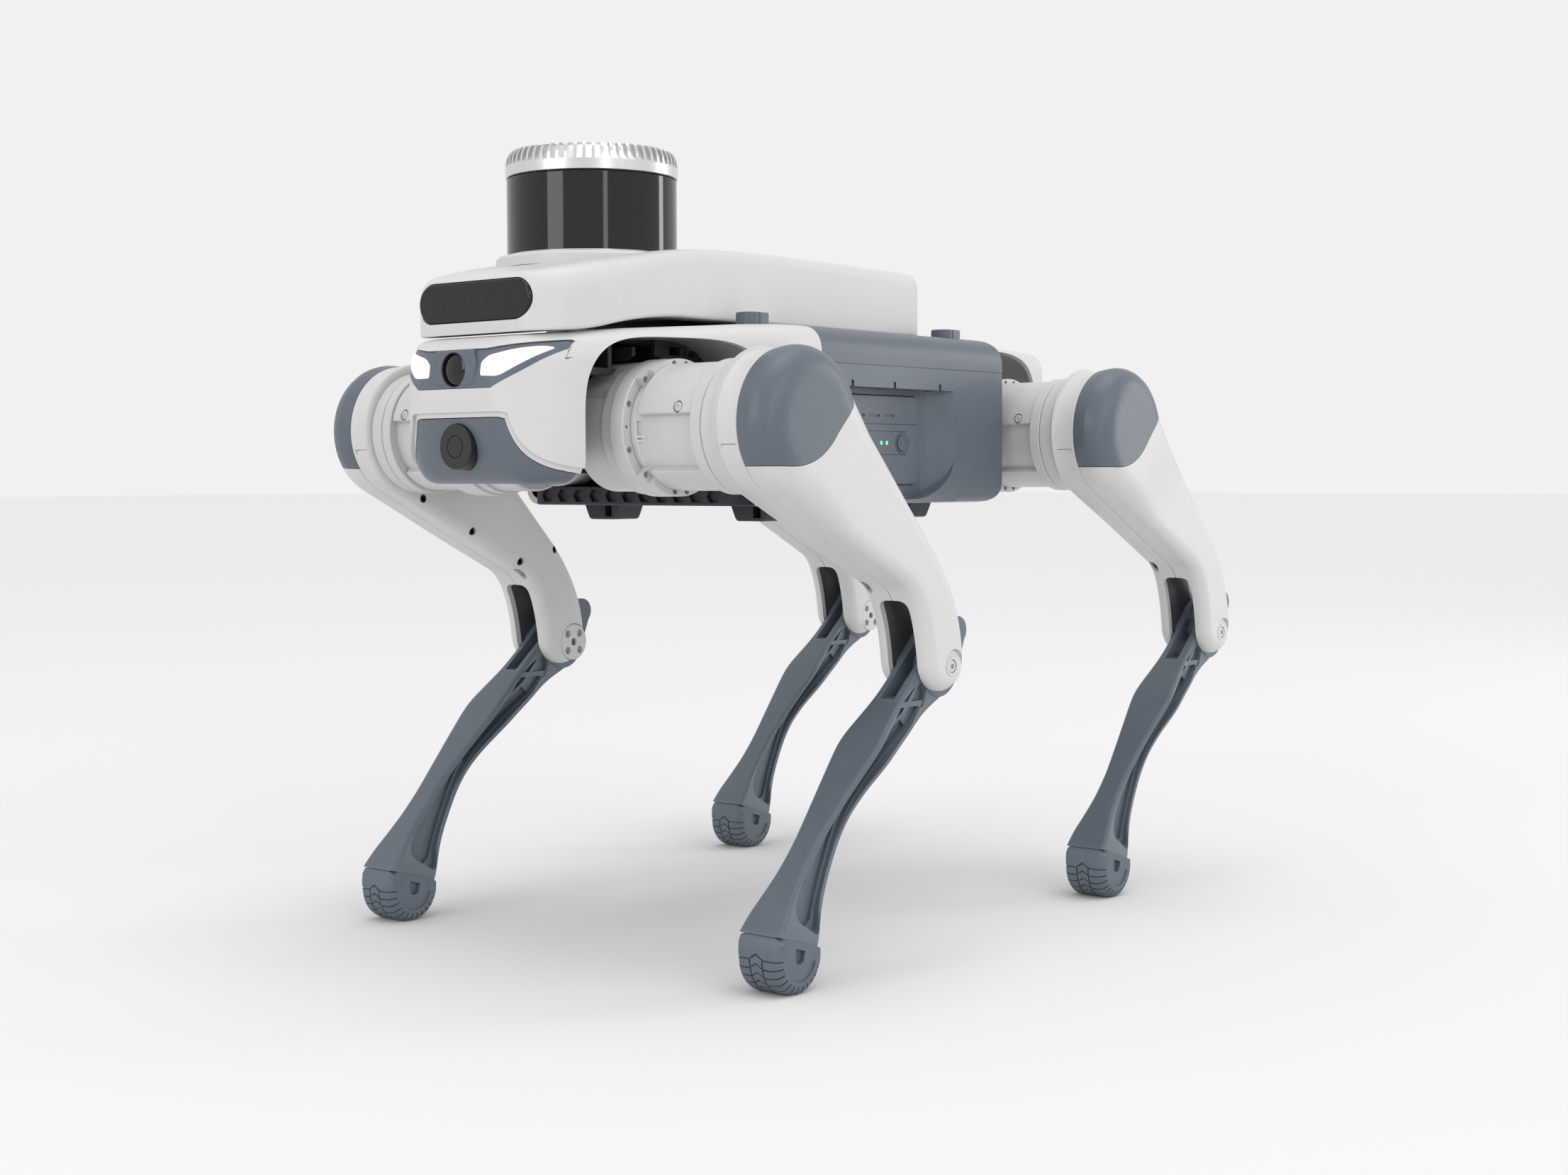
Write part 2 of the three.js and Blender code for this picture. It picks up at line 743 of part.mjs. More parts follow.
// Chassis: end frames with the roll actuators, tied by a top plate, a side plate and two spines.
function chassis() {
  const ends = [1, -1].flatMap((end) => {
    const at = (x0, x1) => [Math.min(end * x0, end * x1), Math.max(end * x0, end * x1)];
    const [b0, b1] = at(104, 112);
    const [s0, s1] = at(104, end > 0 ? 244 : 234);
    const [c0, c1] = at(62, BAY_X);
    return [
      box(b0, b1, -92, 92, -33, 38),
      box(s0, s1, -SPINE_HALF_WIDTH, SPINE_HALF_WIDTH, -26, 26),
      discX([ROLL_Y, 0], ACTUATOR_RADIUS, c0, c1, 16),
      discX([-ROLL_Y, 0], ACTUATOR_RADIUS, c0, c1, 16),
    ];
  });
  return join(
    ...ends,
    box(-112, 112, -58, 58, 34, 38),
    box(-112, 112, -78, -74, -33, 38),
    box(236, 244, -34, 34, -26, 40),
  );
}

function bellyTray() {
  const length = BAY_X - 1;
  const body = frontPlate(
    rounded([
      [-88, TRUNK_BOTTOM, 6],
      [88, TRUNK_BOTTOM, 6],
      [88, -34.4],
      [-88, -34.4],
    ]),
    -length,
    length,
  );
  const hollow = box(-length + 4, length - 4, -84, 84, -42.5, -30);
  const pad = (x, y) =>
    frontPlate(
      [
        [y - 11, -56],
        [y + 11, -56],
        [y + 16, -45.5],
        [y - 16, -45.5],
      ],
      x - 12,
      x + 12,
    );
  const pads = [1, -1].flatMap((a) => [1, -1].map((b) => pad(a * 75, b * 63)));
  return join(cut(body, hollow), ...pads);
}

// Payload frame: plate between the side housings, with lugs that rise through the shells.
function payloadFrame() {
  const plate = box(-BAY_X + 1, SEAM_X + 40, -57, 57, 54, 58);
  const ridge = box(-BAY_X + 1, SEAM_X - GAP, -61.5, 61.5, 57, TRUNK_TOP);
  const lugs = [1, -1].flatMap((side) =>
    [LUG.front, LUG.rear].flatMap((x) => {
      const middle = side * 70;
      const arm = box(x - 9, x + 9, middle - 20, middle + 20, 54, 57.5);
      const post = planPlate(
        rounded([
          [x - LUG.length / 2, side * LUG.y - LUG.width / 2, 4],
          [x + LUG.length / 2, side * LUG.y - LUG.width / 2, 4],
          [x + LUG.length / 2, side * LUG.y + LUG.width / 2, 4],
          [x - LUG.length / 2, side * LUG.y + LUG.width / 2, 4],
        ]),
        55,
        LUG.top,
      );
      return [arm, post];
    }),
  );
  return join(plate, ridge, ...lugs);
}

const DECK_PLAN = rounded(
  mirrored([
    [DECK.rear, DECK.halfWidth, 5],
    [130, DECK.halfWidth + 2],
    [232, DECK.halfWidth + 1, 14],
    [DECK.front - 3, 42, 8],
    [DECK.front, 20],
  ]).reverse(),
);

const DECK_SIDE = rounded([
  [DECK.rear, DECK.bottom],
  [150, DECK.bottom],
  [205, 60],
  [238, 54.5],
  [DECK.front, 53.5],
  [DECK.front, 84, 5],
  [150, 107, 30],
  [60, 110],
  [DECK.rear, DECK.top, 5],
]);

function deckBody(shrink) {
  const section = rounded([
    [-DECK.halfWidth - 3, 40],
    [DECK.halfWidth + 3, 40],
    [DECK.halfWidth + 3, 112, 9],
    [-DECK.halfWidth - 3, 112, 9],
  ]);
  return planPlate(inset(DECK_PLAN, shrink), 0, 150)
    .intersect(sidePlate(inset(DECK_SIDE, shrink), -120, 120))
    .intersect(frontPlate(inset(section, shrink), -300, 300));
}

function sensorDeck() {
  const seat = discZ([LIDAR.x, 0], LIDAR.radius + GAP, LIDAR.seat, 150);
  const floor = discZ([LIDAR.x, 0], LIDAR.radius + 4, LIDAR.seat - 3, 150).intersect(deckBody(0));
  const pill = pillSolid(CAMERA_PILL.halfLength + GAP, CAMERA_PILL.halfHeight + GAP, 239, 300);
  const underside = box(-80, 140, -45, 45, 50, 80);
  return cut(join(cut(deckBody(0), deckBody(WALL)), floor), seat, pill, underside);
}

function pillSolid(halfLength, halfHeight, x0, x1) {
  const centre = halfLength - halfHeight;
  const outline = [
    ...arc([centre, CAMERA_PILL.z], halfHeight, -90, 90, 6),
    ...arc([-centre, CAMERA_PILL.z], halfHeight, 90, 270, 6),
  ];
  return frontPlate(outline, x0, x1);
}

const depthCamera = () =>
  pillSolid(CAMERA_PILL.halfLength, CAMERA_PILL.halfHeight, 240, CAMERA_PILL.front - 1.5);

const LIDAR_PARTS = {
  lidar_base: () => discZ([LIDAR.x, 0], LIDAR.radius - 1, LIDAR.seat + GAP, 106),
  lidar_window: () => discZ([LIDAR.x, 0], LIDAR.radius - 0.6, 106.3, LIDAR.windowTop),
  lidar_cap: () =>
    lathe([
      [0, 0],
      [LIDAR.radius, 0],
      [LIDAR.radius, 14],
      [LIDAR.radius - 2.5, LIDAR.top - LIDAR.windowTop - GAP],
      [0, LIDAR.top - LIDAR.windowTop - GAP],
    ])
      .rotate([90, 0, 0])
      .translate([LIDAR.x, 0, LIDAR.windowTop + GAP]),
};

// Scene graph
function mesh(name, body, material) {
  const piece = new THREE.Mesh(geometryOf(body), new THREE.MeshStandardMaterial(MATERIALS[material]));
  piece.name = name;
  return piece;
}

const root = new THREE.Group();
const trunk = new THREE.Group();
root.add(trunk);

trunk.add(
  mesh("chassis", chassis(), "dark"),
  mesh("belly_tray", bellyTray(), "dark"),
  mesh("front_shell", frontShell(), "white"),
  mesh("visor", visor(), "slate"),
  mesh("eye_light_left", eyeLight(1), "lamp"),
  mesh("eye_light_right", eyeLight(-1), "lamp"),
  mesh("front_camera", frontCamera(), "black"),
  mesh("chin_cover", chinCover(), "slate"),
  mesh("sonar_disc", sonarDisc(), "black"),
  mesh("rear_shell", rearShell(), "white"),
  mesh("battery_housing", sideHousing(), "slate"),
  mesh("side_cover_right", sideCoverRight(), "slate"),
  mesh("battery_pack", batteryPack(), "slate"),
  mesh("power_button", powerButton(), "slate"),
  mesh("payload_frame", payloadFrame(), "slate"),
  mesh("sensor_deck", sensorDeck(), "white"),
  mesh("depth_camera", depthCamera(), "black"),
  mesh("lidar_base", LIDAR_PARTS.lidar_base(), "silver"),
  mesh("lidar_window", LIDAR_PARTS.lidar_window(), "black"),
  mesh("lidar_cap", LIDAR_PARTS.lidar_cap(), "silver"),
);

// One leg about its hip axis. The left legs are built, and the right ones mirror them.
function leg(corner, end, side) {
  const group = new THREE.Group();
  group.position.set(end * HIP_X, 0, 0);
  group.scale.y = side;
  const name = (piece) => `${corner}_${piece}`;
  group.add(
    mesh(name("hip_bracket"), hipBracket(end), "white"),
    mesh(name("thigh_actuator"), thighActuator(), "white"),
    mesh(name("thigh_inner"), thighInner(), "white"),
    mesh(name("thigh_outer"), thighOuter(), "white"),
    mesh(name("hip_cap"), hipCap(), "slate"),
    mesh(name("knee_crank"), kneeCrank(), "steel"),
    mesh(name("push_rod"), pushRod(), "steel"),
    mesh(name("knee_axle"), kneeAxle(), "steel"),
  );
  const lower = new THREE.Group();
  lower.position.set(KNEE[0], LEG_Y, KNEE[1]);
  lower.rotation.y = SHANK_TURN;
  lower.add(mesh(name("shank"), shank(), "slate"), mesh(name("foot"), foot(), "rubber"));
  group.add(lower);
  return group;
}

trunk.add(
  leg("front_left", 1, 1),
  leg("front_right", 1, -1),
  leg("rear_left", -1, 1),
  leg("rear_right", -1, -1),
);

// The model stands on the ground, centred over its own footprint.
const extent = new THREE.Box3().setFromObject(trunk, true);
trunk.position.set(-(extent.min.x + extent.max.x) / 2, 0, STAND_HEIGHT);

export default root;
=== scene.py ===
"""Looks of the quadruped robot dog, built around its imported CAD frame.

Lengths are written in millimetres in local frames (trunk, hip, shank) and scaled when a piece is placed.
"""

import json
import math

import bmesh
import bpy
import numpy as np
from mathutils import Matrix, Vector
from mathutils.geometry import delaunay_2d_cdt


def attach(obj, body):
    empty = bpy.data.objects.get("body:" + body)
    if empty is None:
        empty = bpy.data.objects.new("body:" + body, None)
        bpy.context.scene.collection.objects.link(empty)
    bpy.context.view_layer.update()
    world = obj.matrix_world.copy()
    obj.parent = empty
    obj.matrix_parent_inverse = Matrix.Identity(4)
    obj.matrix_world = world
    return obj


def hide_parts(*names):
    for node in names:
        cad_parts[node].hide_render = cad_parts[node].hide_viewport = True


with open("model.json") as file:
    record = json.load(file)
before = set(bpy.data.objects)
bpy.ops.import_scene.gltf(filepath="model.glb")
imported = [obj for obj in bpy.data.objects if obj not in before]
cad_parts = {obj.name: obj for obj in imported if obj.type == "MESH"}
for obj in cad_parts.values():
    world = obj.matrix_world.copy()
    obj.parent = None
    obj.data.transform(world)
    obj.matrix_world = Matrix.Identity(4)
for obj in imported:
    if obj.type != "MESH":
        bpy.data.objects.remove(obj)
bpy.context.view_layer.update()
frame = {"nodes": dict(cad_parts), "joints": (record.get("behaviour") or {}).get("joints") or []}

MM = 0.001
CORNERS = [(f"{end}_{side}", x, y) for end, x in (("front", 1), ("rear", -1)) for side, y in (("left", 1), ("right", -1))]

# Places taken from the frame
joints = {joint["name"]: joint for joint in frame["joints"]}
hips = {corner: Vector(joints[f"{corner}_hip_pitch"]["pos_m"]) for corner, _, _ in CORNERS}
knee_of = {corner: Vector(joints[f"{corner}_knee"]["pos_m"]) for corner, _, _ in CORNERS}
middle = sum(hips.values(), Vector()) / 4
TRUNK = Matrix.Translation(middle) @ Matrix.Scale(MM, 4)
HIP_X = (hips["front_left"].x - hips["rear_left"].x) / 2 / MM
LEG_Y = hips["front_left"].y / MM
STAND_HEIGHT = middle.z / MM
KNEE = ((knee_of["front_left"].x - hips["front_left"].x) / MM, (knee_of["front_left"].z - middle.z) / MM)

# Dimensions shared with the CAD part
GAP = 0.3
THIGH_LENGTH = math.hypot(*KNEE)
THIGH_ANGLE = math.degrees(math.atan2(KNEE[1], KNEE[0])) + 360
SHANK_LENGTH = 210
SHANK_TURN = math.radians(46.8)
THIGH_HALF = 20.2
HUB_HALF = 10.2
FORK_START = 145
CAP_CENTRE = (-1.8, 1)
CAP_RADIUS = 43.6
TRUNK_HALF = 107
TRUNK_TOP = 64
TRUNK_BOTTOM = -46
BAY_X = 130
SEAM_X = 70
HEAD_FRONT = 273
LUG_FRONT = 106
LUG_REAR = -99
LUG_Y = 80.5
LIDAR_X = 159


# ---------------------------------------------------------------- camera
def camera():
    eye = middle + Vector((1090.73, 899.57, -28.30)) * MM
    yaw, pitch, roll = (math.radians(angle) for angle in (218.88, -3.01, -0.18))
    ahead = Vector((math.cos(pitch) * math.cos(yaw), math.cos(pitch) * math.sin(yaw), math.sin(pitch)))
    right = ahead.cross(Vector((0, 0, 1))).normalized()
    up = right.cross(ahead)
    across = math.cos(roll) * right + math.sin(roll) * up
    over = math.cos(roll) * up - math.sin(roll) * right
    data = bpy.data.cameras.new("camera")
    data.lens = 48.54
    data.sensor_width = 36
    data.clip_start = 0.01
    data.clip_end = 60
    made = bpy.data.objects.new("camera", data)
    bpy.context.scene.collection.objects.link(made)
    made.matrix_world = Matrix.Translation(eye) @ Matrix((across, over, -ahead)).transposed().to_4x4()
    bpy.context.scene.camera = made


camera()


# ---------------------------------------------------------------- outlines
def arc(centre, radius, start, end, steps):
    angles = np.radians(np.linspace(start, end, steps + 1))
    return [(centre[0] + radius * math.cos(a), centre[1] + radius * math.sin(a)) for a in angles]


def bend(start, control, end, steps):
    made = []
    for t in np.linspace(0, 1, steps + 1):
        weights = ((1 - t) ** 2, 2 * t * (1 - t), t**2)
        made.append(tuple(sum(w * p[k] for w, p in zip(weights, (start, control, end))) for k in (0, 1)))
    return made


def rounded(corners, steps=7):
    """A polygon from (a, b, radius) corners, each rounded by its own radius."""
    made = []
    for i, corner in enumerate(corners):
        radius = corner[2] if len(corner) > 2 else 0
        here = Vector(corner[:2])
        if not radius:
            made.append(tuple(here))
            continue
        ends = [Vector(corners[j % len(corners)][:2]) for j in (i - 1, i + 1)]
        start, end = (here + (other - here).normalized() * radius for other in ends)
        made.extend(bend(start, here, end, steps))
    return made


def mirrored(half):
    """Both halves of an outline that is symmetric about its first coordinate's axis."""
    return [*half, *[(a, -b) for a, b in reversed(half)]]


def flipped(points):
    return [(-a, b) for a, b in reversed(points)]


def area(points):
    return sum(a[0] * b[1] - b[0] * a[1] for a, b in zip(points, points[1:] + points[:1])) / 2


def inset(points, distance):
    """Every edge of a closed outline moved inwards, by one distance or one for each point."""
    p = np.array(points, float)
    if area(points) < 0:
        return inset(points[::-1], distance if np.isscalar(distance) else distance[::-1])[::-1]
    edge = np.roll(p, -1, 0) - p
    edge /= np.linalg.norm(edge, axis=1)[:, None]
    inward = np.stack([-edge[:, 1], edge[:, 0]], 1)
    before = np.roll(inward, 1, 0)
    reach = np.broadcast_to(distance, len(p)) / (1 + (before * inward).sum(1))
    return [tuple(q) for q in p + reach[:, None] * (before + inward)]


def divided(points, longest):
    """The same closed outline with no edge longer than a limit."""
    made = []
    for a, b in zip(points, points[1:] + points[:1]):
        count = max(1, math.ceil(math.dist(a, b) / longest))
        made.extend((a[0] + (b[0] - a[0]) * i / count, a[1] + (b[1] - a[1]) * i / count) for i in range(count))
    return made


# ---------------------------------------------------------------- solids
AXES = {"X": lambda a, b, t: (t, a, b), "Y": lambda a, b, t: (a, t, b), "Z": lambda a, b, t: (a, b, t)}


def closed(vertices, faces):
    mesh = bpy.data.meshes.new("solid")
    mesh.from_pydata(vertices, [], faces)
    work = bmesh.new()
    work.from_mesh(mesh)
    bmesh.ops.remove_doubles(work, verts=work.verts, dist=1e-5)
    bmesh.ops.dissolve_degenerate(work, edges=work.edges, dist=1e-6)
    bmesh.ops.recalc_face_normals(work, faces=work.faces)
    work.to_mesh(mesh)
    work.free()
    return mesh


def skinned(rings):
    """A closed solid through rings of 3-D points with the same count."""
    count = len(rings[0])
    vertices = [point for ring in rings for point in ring]
    faces = [list(range(count)), list(range(len(vertices) - count, len(vertices)))]
    for r in range(len(rings) - 1):
        for i in range(count):
            j = (i + 1) % count
            faces.append((r * count + i, r * count + j, (r + 1) * count + j, (r + 1) * count + i))
    return closed(vertices, faces)


def prism(points, low, high, axis="Y"):
    return skinned([[AXES[axis](a, b, t) for a, b in points] for t in (low, high)])


def pillow(points, low, high, radii, axis="Y", steps=4):
    """A plate whose two rims are rounded, each by its own radius."""
    layers = []
    for end, inner, radius in ((low, 1, radii[0]), (high, -1, radii[1])):
        turn = [math.radians(90 * i / steps) for i in range(steps + 1)] if radius else [math.radians(90)]
        rim = [(end + inner * radius * (1 - math.sin(a)) * 1.0, radius * (1 - math.cos(math.pi / 2 - a))) for a in turn]
        rim = [(end + inner * radius * (1 - math.cos(a)), radius * (1 - math.sin(a))) for a in turn]
        layers.append(rim if inner > 0 else rim[::-1])
    rings = [[AXES[axis](a, b, t) for a, b in (inset(points, d) if d > 1e-6 else points)] for t, d in layers[0] + layers[1]]
    return skinned(rings)


def box(x0, x1, y0, y1, z0, z1):
    return prism([(x0, z0), (x1, z0), (x1, z1), (x0, z1)], y0, y1)


def turned(profile, centre=(0, 0), axis="Y", sides=96):
    """A lathed solid from (radius, height) points."""
    return skinned([[AXES[axis](a, b, t) for a, b in arc(centre, r, 0, 360 - 360 / sides, sides - 1)] for r, t in profile])


def disc(centre, radius, low, high, axis="Y", sides=64, bevel=0.0):
    rims = [(radius - bevel, low), (radius, low + bevel), (radius, high - bevel), (radius - bevel, high)]
    return turned(rims if bevel else [rims[1], rims[2]], centre, axis, sides)


def evaluated(mesh, *modifiers):
    """The mesh after modifiers, each a (type, settings) pair."""
    host = bpy.data.objects.new("work", mesh)
    bpy.context.scene.collection.objects.link(host)
    for kind, settings in modifiers:
        modifier = host.modifiers.new(kind, kind)
        for key, value in settings.items():
            setattr(modifier, key, value)
    made = bpy.data.meshes.new_from_object(host.evaluated_get(bpy.context.evaluated_depsgraph_get()))
    bpy.data.objects.remove(host)
    return made


def combined(operation, base, tools):
    for tool in tools:
        other = bpy.data.objects.new("tool", tool)
        bpy.context.scene.collection.objects.link(other)
        other.hide_render = True
        base = evaluated(base, ("BOOLEAN", {"operation": operation, "solver": "MANIFOLD", "object": other}))
        bpy.data.objects.remove(other)
    return base


def cut(base, *tools):
    return combined("DIFFERENCE", base, tools)


def join(base, *tools):
    return combined("UNION", base, tools)


def common(base, *tools):
    return combined("INTERSECT", base, tools)


def together(*meshes):
    """Several separate closed meshes as one."""
    work = bmesh.new()
    for mesh in meshes:
        work.from_mesh(mesh)
    made = bpy.data.meshes.new("solid")
    work.to_mesh(made)
    work.free()
    return made


def moved(mesh, matrix):
    made = mesh.copy()
    made.transform(matrix)
    if matrix.determinant() < 0:
        made.flip_normals()
    return made


def softened(mesh, width, segments=2, angle=35):
    settings = {"width": width, "segments": segments, "limit_method": "ANGLE", "angle_limit": math.radians(angle)}
    return evaluated(mesh, ("BEVEL", {**settings, "use_clamp_overlap": True}))


def relief(outline, spacing, wall, rise, radius, top, seam, direction):
    """A plate on the seam plane whose wall and rounded top change along the outline.

    wall lists (height share, inset) pairs, and each of wall's insets, rise, radius and top is a function of (x, z).
    """
    points = divided(outline, spacing)
    flat = np.array(points)
    rings = []
    for share, back in wall:
        heights = [rise(p) * share for p in flat]
        ring = inset(points, np.array([back(p) for p in flat]))
        rings.append([(x, seam + direction * h, z) for (x, z), h in zip(ring, heights)])
    count = len(points)
    bows = 7
    rows = [points]
    for i in range(1, bows):
        share = 1 - math.cos(math.radians(90 * i / (bows - 1)))
        rows.append(inset(points, np.array([radius(p) * share for p in flat])))
    inner = np.array(rows[-1])
    low, high = inner.min(0), inner.max(0)
    seeds = [p for row in rows for p in row]
    grid = [(x, z) for x in np.arange(low[0], high[0], spacing * 1.5) for z in np.arange(low[1], high[1], spacing * 1.5)]
    depth = distance_to(np.array(grid), flat)
    inside = inside_of(np.array(grid), flat)
    seeds += [p for p, d, i in zip(grid, depth, inside) if i and d > radius(p) + spacing * 0.7]
    loop = [(i, (i + 1) % count) for i in range(count)]
    made = delaunay_2d_cdt([Vector(p) for p in seeds], loop, [], 1, 1e-6)
    flat_points, faces = made[0], made[2]
    places = np.array([tuple(p) for p in flat_points])
    depths = distance_to(places, flat)
    upper = []
    for p, d in zip(places, depths):
        share = min(1.0, d / radius(p))
        curve = math.sqrt(max(0.0, 1 - (1 - share) ** 2))
        upper.append((p[0], seam + direction * (rise(p) + (top(p) - rise(p)) * curve), p[1]))
    base = len(upper)
    vertices = upper + [p for ring in rings for p in ring]
    order = [int(i) for i in nearest(places, flat)]
    shell = [tuple(face) for face in faces]
    chains = [[base + r * count + i for i in range(count)] for r in range(len(rings))] + [order]
    for lower, above in zip(chains, chains[1:]):
        shell += [(lower[i], lower[(i + 1) % count], above[(i + 1) % count], above[i]) for i in range(count)]
    shell.append(tuple(chains[0]))
    return closed(vertices, shell)


def distance_to(places, loop):
    """Each point's distance to a closed outline."""
    start, end = loop, np.roll(loop, -1, 0)
    along = end - start
    offset = places[:, None, :] - start[None]
    share = np.clip((offset * along).sum(2) / (along**2).sum(1), 0, 1)
    return np.linalg.norm(offset - share[..., None] * along, axis=2).min(1)


def inside_of(places, loop):
    x, z = places[:, 0:1], places[:, 1:2]
    a, b = loop, np.roll(loop, -1, 0)
    crosses = (a[:, 1] > z) != (b[:, 1] > z)
    reach = a[:, 0] + (z - a[:, 1]) * (b[:, 0] - a[:, 0]) / np.where(b[:, 1] == a[:, 1], 1e-9, b[:, 1] - a[:, 1])
    return (crosses & (x < reach)).sum(1) % 2 == 1


def nearest(places, targets):
    return np.linalg.norm(places[None] - targets[:, None], axis=2).argmin(1)


# ---------------------------------------------------------------- materials
def linear(code):
    return [((int(code[i : i + 2], 16) / 255 + 0.055) / 1.055) ** 2.4 for i in (0, 2, 4)]


def material(name, code, roughness, metallic=0.0, grain=(1500, 0.02), spread=0.04, mottle=90, coat=0.0, glow=None, edge_highlight=0.0, stretch=None):
    made = bpy.data.materials.new(name)
    made.use_nodes = True
    nodes, links = made.node_tree.nodes, made.node_tree.links
    shader = nodes["Principled BSDF"]
    shader.inputs["Metallic"].default_value = metallic
    shader.inputs["Coat Weight"].default_value = coat
    shader.inputs["Coat Roughness"].default_value = 0.06

    def node(kind, **sockets):
        built = nodes.new(kind)
        for key, value in sockets.items():
            built.inputs[key.replace("_", " ")].default_value = value
        return built

    place = nodes.new("ShaderNodeTexCoord").outputs["Object"]
    if stretch:
        squeeze = node("ShaderNodeMapping", Scale=stretch)
        links.new(place, squeeze.inputs["Vector"])
        place = squeeze.outputs["Vector"]
    fine = node("ShaderNodeTexNoise", Scale=grain[0], Detail=3.0, Roughness=0.6)
    broad = node("ShaderNodeTexNoise", Scale=mottle, Detail=4.0, Roughness=0.55)
    for texture in (fine, broad):
        links.new(place, texture.inputs["Vector"])
    ramp = nodes.new("ShaderNodeValToRGB")
    colour = linear(code)
    ramp.color_ramp.elements[0].position = 0.3
    ramp.color_ramp.elements[1].position = 0.7
    ramp.color_ramp.elements[0].color = (*[c * (1 - spread) for c in colour], 1)
    ramp.color_ramp.elements[1].color = (*[min(1, c * (1 + spread)) for c in colour], 1)
    links.new(broad.outputs["Fac"], ramp.inputs["Fac"])
    shade = ramp.outputs["Color"]
    # Painted highlight: convex edges, picked out by Pointiness, are lightened towards a paler copy of the colour.
    if edge_highlight:
        edges = node("ShaderNodeMapRange", From_Min=0.53, From_Max=0.62, To_Min=0.0, To_Max=edge_highlight)
        links.new(nodes.new("ShaderNodeNewGeometry").outputs["Pointiness"], edges.inputs["Value"])
        blend = nodes.new("ShaderNodeMix")
        blend.data_type = "RGBA"
        links.new(edges.outputs["Result"], blend.inputs["Factor"])
        links.new(shade, blend.inputs["A"])
        blend.inputs["B"].default_value = (*[min(1, c * 1.5 + 0.03) for c in colour], 1)
        shade = blend.outputs["Result"]
    links.new(shade, shader.inputs["Base Color"])
    finish = node("ShaderNodeMapRange", From_Min=0.3, From_Max=0.7, To_Min=roughness * 0.88, To_Max=min(1, roughness * 1.12))
    links.new(fine.outputs["Fac"], finish.inputs["Value"])
    links.new(finish.outputs["Result"], shader.inputs["Roughness"])
    bump = node("ShaderNodeBump", Strength=0.35, Distance=grain[1] * MM)
    links.new(fine.outputs["Fac"], bump.inputs["Height"])
    links.new(bump.outputs["Normal"], shader.inputs["Normal"])
    if glow:
        shader.inputs["Emission Strength"].default_value = glow
        links.new(shade, shader.inputs["Emission Color"])
    return made


WHITE = material("white_shell", "cbcbca", 0.42, spread=0.012, grain=(1700, 0.03))
WHITE_METAL = material("white_metal", "c3c3c2", 0.38, spread=0.015, grain=(900, 0.04))
SLATE = material("slate_shell", "59616c", 0.40, spread=0.03, grain=(1700, 0.04), edge_highlight=0.10)
SLATE_LEG = material("slate_leg", "57606b", 0.44, spread=0.04, grain=(1300, 0.06), mottle=60, edge_highlight=0.18)
TREAD = material("foot_rubber", "59626d", 0.58, spread=0.05, grain=(1100, 0.10), mottle=140, edge_highlight=0.12)
DARK = material("dark_tray", "262b33", 0.5, spread=0.08, grain=(1200, 0.08), edge_highlight=0.10)
# Painted shade: a dark grey for the sheets laid inside the knee fork, where there is only shadow.
PAINTED_SHADE = material("knee_lining", "45464a", 0.55, spread=0.08)
FRAME = material("dark_frame", "2b2e33", 0.45, metallic=0.3, spread=0.08)
GLOSS = material("gloss_black", "030304", 0.05, spread=0.2, grain=(300, 0.002))
SATIN = material("satin_black", "1b1b1c", 0.42, spread=0.08, grain=(1500, 0.05))
SILVER = material("lidar_silver", "d3d4d5", 0.30, metallic=0.85, spread=0.03, stretch=(1, 1, 14), grain=(260, 0.01))
STEEL = material("steel", "7c7f83", 0.36, metallic=0.9, spread=0.1)
BLACK_SCREW = material("black_screw", "17181a", 0.4, metallic=0.6, spread=0.15)
LAMP = material("lamp", "f7f5f6", 0.4, glow=0.55, spread=0.01)
GREEN = material("green_lamp", "58e07a", 0.4, glow=2.2, spread=0.1, mottle=700)


# ---------------------------------------------------------------- placing
def place(name, mesh, finish, body, slot, matrix=TRUNK, nodes=(), smooth=32):
    made = moved(mesh, matrix)
    made.name = name
    made.materials.clear()
    made.materials.append(finish)
    made.shade_smooth()
    made.set_sharp_from_angle(angle=math.radians(smooth))
    piece = bpy.data.objects.new(name, made)
    bpy.context.scene.collection.objects.link(piece)
    weighting = piece.modifiers.new("weights", "WEIGHTED_NORMAL")
    weighting.keep_sharp = True
    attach(piece, body)
    if nodes:
        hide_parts(*nodes)
    return piece


def repaint(finish, *names):
    """A CAD piece whose shape is right keeps it and takes a detailed finish."""
    for name in names:
        holder = frame["nodes"][name]
        holder.data.materials.clear()
        holder.data.materials.append(finish)
        holder.data.shade_smooth()
        holder.data.set_sharp_from_angle(angle=math.radians(25))


def smooth_step(value, start, end):
    t = min(1.0, max(0.0, (value - start) / (end - start)))
    return t * t * (3 - 2 * t)


# ---------------------------------------------------------------- leg: thigh
THIGH_WAY = (math.cos(math.radians(THIGH_ANGLE)), math.sin(math.radians(THIGH_ANGLE)))


def thigh_outline():
    return [
        *arc(CAP_CENTRE, CAP_RADIUS, -62, 158, 66),
        (-57.5, -2.6),
        *bend((-124.3, -74.1), (-152, -106), (-152.8, -138.6), 24),
        *arc((-133.2, -138.6), 19.6, 180, 349, 38)[1:],
        *bend((-113.9, -142), (-109, -100.9), (-92, -92.2), 22),
    ]


def down_thigh(p):
    return p[0] * THIGH_WAY[0] + p[1] * THIGH_WAY[1]


def along_thigh(hip, thigh, start=22, end=78):
    return lambda p: hip + (thigh - hip) * smooth_step(down_thigh(p), start, end)


def knee_slot(low, high):
    slot = box(FORK_START, 260, low, high, -80, 80)
    return moved(slot, Matrix.Rotation(-math.radians(THIGH_ANGLE), 4, "Y"))


